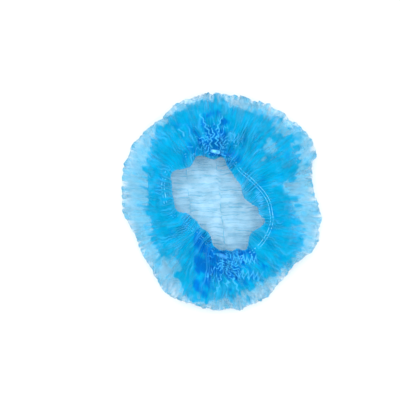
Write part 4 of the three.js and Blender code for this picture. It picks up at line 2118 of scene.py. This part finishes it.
@dataclass(frozen=True)
class WeldedBar:
    """The weld at one end of the opening: a fused pad with pressed ribs across it.

    rounding says how far the pad's sides bow, thin_edge the height of its edge as a share, edge_sharpness
    how steeply it falls to that edge, unevenness how much its top varies, and rib_span and rib_length how
    much of its length and width the ribs take.
    """

    end: End
    material: bpy.types.Material
    shape: CapShape
    length: float = 12 * MM
    width: float = 5 * MM
    height: float = 1.7 * MM
    rounding: float = 0.28
    thin_edge: float = 0.25
    edge_sharpness: int = 6
    unevenness: float = 0.12
    ribs: int = 7
    rib_height: float = 0.6 * MM
    rib_span: float = 0.8
    rib_length: float = 0.8
    columns: int = 36
    rows: int = 16
    seed: int = 5

    def build(self) -> bpy.types.Object:
        """Makes the pad with its ribs, where the frame has the bar.

        Returns:
            The bar's object.
        """
        low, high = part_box(bar_node(self.end))
        centre = np.array([(low[0] + high[0]) / 2, (low[1] + high[1]) / 2, low[2]])
        across = self.shape.inward(self.shape.rim_bearing(np.array([self.end.value])))[0]
        along = np.array([across[1], -across[0], 0])
        pad = bpy.data.objects.new(bar_node(self.end) + "_pad", self.pad(centre, along, across))
        top = centre + np.array([0, 0, self.height])
        reach = along * self.length * self.rib_span / 2
        values = {
            "Count": self.ribs,
            "First": tuple(top - reach),
            "Last": tuple(top + reach),
            "Turn": math.atan2(along[1], along[0]),
            "Length": self.width * self.rib_length,
            "Height": self.rib_height,
            "Seed": self.seed,
            "Finish": self.material,
        }
        bar = settle(pad, weld_rib_tree(), values, f"weld_{self.end.name.lower()}")
        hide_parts(bar_node(self.end))
        return bar

    def pad(self, centre: np.ndarray, along: np.ndarray, across: np.ndarray) -> bpy.types.Mesh:
        """Makes the fused pad: rounded, thinner at its edges and slightly uneven.

        Args:
            centre: The middle of its underside.
            along: The direction of its length.
            across: The direction of its width.

        Returns:
            The pad's closed mesh.
        """
        u, v = np.meshgrid(np.linspace(-1, 1, self.columns), np.linspace(-1, 1, self.rows), indexing="ij")
        bow = math.sqrt(1 - self.rounding / 2)
        run = u * np.sqrt(1 - v**2 * self.rounding) * self.length / 2 / bow
        side = v * np.sqrt(1 - u**2 * self.rounding) * self.width / 2 / bow
        flat = centre + run[..., None] * along + side[..., None] * across
        swell = np.clip(1 - np.maximum(np.abs(u), np.abs(v)) ** self.edge_sharpness, 0, 1)
        uneven = 1 + self.unevenness * PAD_LUMPS.at(flat)
        top = flat.copy()
        top[..., 2] += self.height * (self.thin_edge + (1 - self.thin_edge) * swell) * uneven
        faces = []
        for face_up, offset in ((True, 0), (False, u.size)):
            for i in range(self.columns - 1):
                for j in range(self.rows - 1):
                    a = offset + i * self.rows + j
                    quad = (a, a + self.rows, a + self.rows + 1, a + 1)
                    faces.append(quad if face_up else quad[::-1])
        border = [i * self.rows for i in range(self.columns)]
        border += [(self.columns - 1) * self.rows + j for j in range(1, self.rows)]
        border += [i * self.rows + self.rows - 1 for i in range(self.columns - 2, -1, -1)]
        border += list(range(self.rows - 2, 0, -1))
        for a, b in zip(border, border[1:] + border[:1]):
            faces.append((b, a, a + u.size, b + u.size))
        places = np.concatenate([top.reshape(-1, 3), flat.reshape(-1, 3)])
        mesh = bpy.data.meshes.new("weld_pad")
        mesh.from_pydata([tuple(p) for p in places], [], faces)
        return mesh


@cache
def weld_rib_tree() -> bpy.types.NodeTree:
    """Builds, once, the tree that presses a row of ribs across a pad.

    Returns:
        The tree, with the pad's Geometry, Count, First, Last, Turn, Length, Height, Seed and Finish in.
    """
    rib_sides = 10
    radius_share = 0.8
    smallest, largest = 0.8, 1.15
    kinds = {
        "Count": "Int",
        "First": "Vector",
        "Last": "Vector",
        "Turn": "Float",
        "Length": "Float",
        "Height": "Float",
        "Seed": "Int",
        "Finish": "Material",
    }
    tree, given = new_tree("weld_ribs", kinds)
    line = add_node(tree, "GeometryNodeMeshLine", mode="END_POINTS")
    feed(tree, given["Count"], line.inputs["Count"])
    feed(tree, given["First"], line.inputs["Start Location"])
    feed(tree, given["Last"], line.inputs["Offset"])
    rib = add_node(tree, "GeometryNodeMeshCylinder")
    feed(tree, rib_sides, rib.inputs["Vertices"])
    feed(tree, Number(tree, given["Height"]) * radius_share, rib.inputs["Radius"])
    feed(tree, given["Length"], rib.inputs["Depth"])
    lay = add_node(tree, "FunctionNodeAlignRotationToVector", axis="Z")
    feed(tree, (0, 1, 0), lay.inputs["Vector"])
    spin = add_node(tree, "ShaderNodeCombineXYZ")
    feed(tree, given["Turn"], spin.inputs["Z"])
    turned = add_node(tree, "FunctionNodeRotateRotation")
    feed(tree, lay.outputs["Rotation"], turned.inputs["Rotation"])
    feed(tree, spin.outputs[0], turned.inputs["Rotate By"])
    # A random value has its inputs and output for plain numbers at these places, because their names repeat.
    size = add_node(tree, "FunctionNodeRandomValue", data_type="FLOAT")
    feed(tree, smallest, size.inputs[2])
    feed(tree, largest, size.inputs[3])
    feed(tree, given["Seed"], size.inputs["Seed"])
    place = add_node(tree, "GeometryNodeInstanceOnPoints")
    feed(tree, line.outputs["Mesh"], place.inputs["Points"])
    feed(tree, rib.outputs["Mesh"], place.inputs["Instance"])
    feed(tree, turned.outputs["Rotation"], place.inputs["Rotation"])
    feed(tree, size.outputs[1], place.inputs["Scale"])
    join = add_node(tree, "GeometryNodeJoinGeometry")
    feed(tree, place.outputs["Instances"], join.inputs["Geometry"])
    feed(tree, given["Geometry"], join.inputs["Geometry"])
    end_tree(tree, join.outputs["Geometry"], given["Finish"])
    return tree


@dataclass(frozen=True)
class Studio:
    """A plain pale floor, soft light, and a camera looking straight down as the photograph does.

    object_pixel and image_middle are places in the photograph, and framed_level is the height at which one
    pixel is metres_per_pixel wide.
    """

    floor_size: float = 6.0
    floor_shade: tuple[float, float, float] = (0.86, 0.865, 0.87)
    floor_light: tuple[float, float, float] = (0.88, 0.88, 0.88)
    floor_roughness: float = 0.85
    floor_specular: float = 0.1
    floor_bump: float = 0.02
    floor_relief: float = 0.2 * MM
    room_colour: tuple[float, float, float, float] = (0.93, 0.98, 1.0, 1)
    room_strength: float = 0.95
    lamp_place: tuple[float, float, float] = (-0.06, 0.12, 1.45)
    lamp_size: float = 1.4
    lamp_energy: float = 15.5
    see_through_layers: int = 32
    image_height: float = 404
    metres_per_pixel: float = 1.4 * MM
    object_pixel: tuple[float, float] = (220.7, 201.5)
    image_middle: tuple[float, float] = (200, 202)
    framed_level: float = 0.02
    distance: float = 1.5
    far_end: float = 20.0

    def build(self) -> None:
        """Makes the floor, the light and the camera."""
        self.floor()
        self.light()
        self.camera()

    def floor(self) -> None:
        """Makes the floor, with a faint unevenness in its finish."""
        half = self.floor_size / 2
        mesh = bpy.data.meshes.new("floor")
        corners = [(-half, -half, 0), (half, -half, 0), (half, half, 0), (-half, half, 0)]
        mesh.from_pydata(corners, [], [(0, 1, 2, 3)])
        floor = bpy.data.objects.new("floor", mesh)
        bpy.context.collection.objects.link(floor)
        paint = Paint("white_floor")
        cloud = paint.group(cloudiness_group(), Place=paint.place(), Scale=3.0, Fine=40.0)
        paint.finish(
            paint.mix(cloud["Cloud"], self.floor_shade, self.floor_light),
            roughness=self.floor_roughness,
            normal=paint.bump(cloud["Fuzz"], strength=self.floor_bump, distance=self.floor_relief),
            constants={"Specular IOR Level": self.floor_specular},
        )
        mesh.materials.append(paint.material)

    def light(self) -> None:
        """Makes a bright even room and one large soft lamp above the back left."""
        scene = bpy.context.scene
        scene.world = bpy.data.worlds.new("bright_room")
        scene.world.use_nodes = True
        background = scene.world.node_tree.nodes["Background"]
        background.inputs["Color"].default_value = self.room_colour
        background.inputs["Strength"].default_value = self.room_strength
        lamp = bpy.data.lights.new("soft_lamp", "AREA")
        lamp.shape = "DISK"
        lamp.size = self.lamp_size
        lamp.energy = self.lamp_energy
        holder = bpy.data.objects.new("soft_lamp", lamp)
        holder.location = self.lamp_place
        aim = Vector((0, 0, 0)) - holder.location
        holder.rotation_euler = aim.to_track_quat("-Z", "Y").to_euler()
        bpy.context.collection.objects.link(holder)
        scene.view_settings.view_transform = "Standard"
        scene.cycles.transparent_max_bounces = self.see_through_layers

    def camera(self) -> None:
        """Makes the camera, so that the cap lies at its place in the frame."""
        data = bpy.data.cameras.new("camera")
        data.lens = data.sensor_width * self.distance / (self.image_height * self.metres_per_pixel)
        data.clip_end = self.far_end
        camera = bpy.data.objects.new("camera", data)
        off_x = (self.object_pixel[0] - self.image_middle[0]) * self.metres_per_pixel
        off_y = (self.object_pixel[1] - self.image_middle[1]) * self.metres_per_pixel
        camera.location = (-off_x, off_y, self.framed_level + self.distance)
        bpy.context.collection.objects.link(camera)
        bpy.context.scene.camera = camera


def main() -> None:
    """Builds the hairnet piece by piece, after its surroundings."""
    logging.basicConfig(level=logging.INFO, format="%(message)s")
    Studio().build()
    shape = CapShape()
    cloth = CapCloth(shape, ClothFinish())
    cap = cloth.build()
    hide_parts("cap_sheet")
    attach(cap, "root")
    log.info("%s: %d faces", cap.name, len(cap.data.polygons))

    thread_material = ThreadFinish().material("pale_elastic")
    for side in Side:
        for thread in ElasticPair(shape, side, thread_material, cloth).build():
            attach(thread, "root")
            log.info("%s: %d faces", thread.name, len(thread.data.polygons))

    # The front weld takes a darker copy of the fused film: painted shade, for the weld lying in shade.
    shaded_front = FusedFinish(film=(0.03, 0.40, 0.84), plain_film=(0.0, 0.22, 0.66))
    fused = {
        End.BACK: FusedFinish().material("fused_cloth"),
        End.FRONT: shaded_front.material("fused_cloth_shaded_front"),
    }
    for end in End:
        bar = WeldedBar(end, fused[end], shape).build()
        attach(bar, "root")
        log.info("%s: %d faces", bar.name, len(bar.data.polygons))


if __name__ == "__main__":
    main()
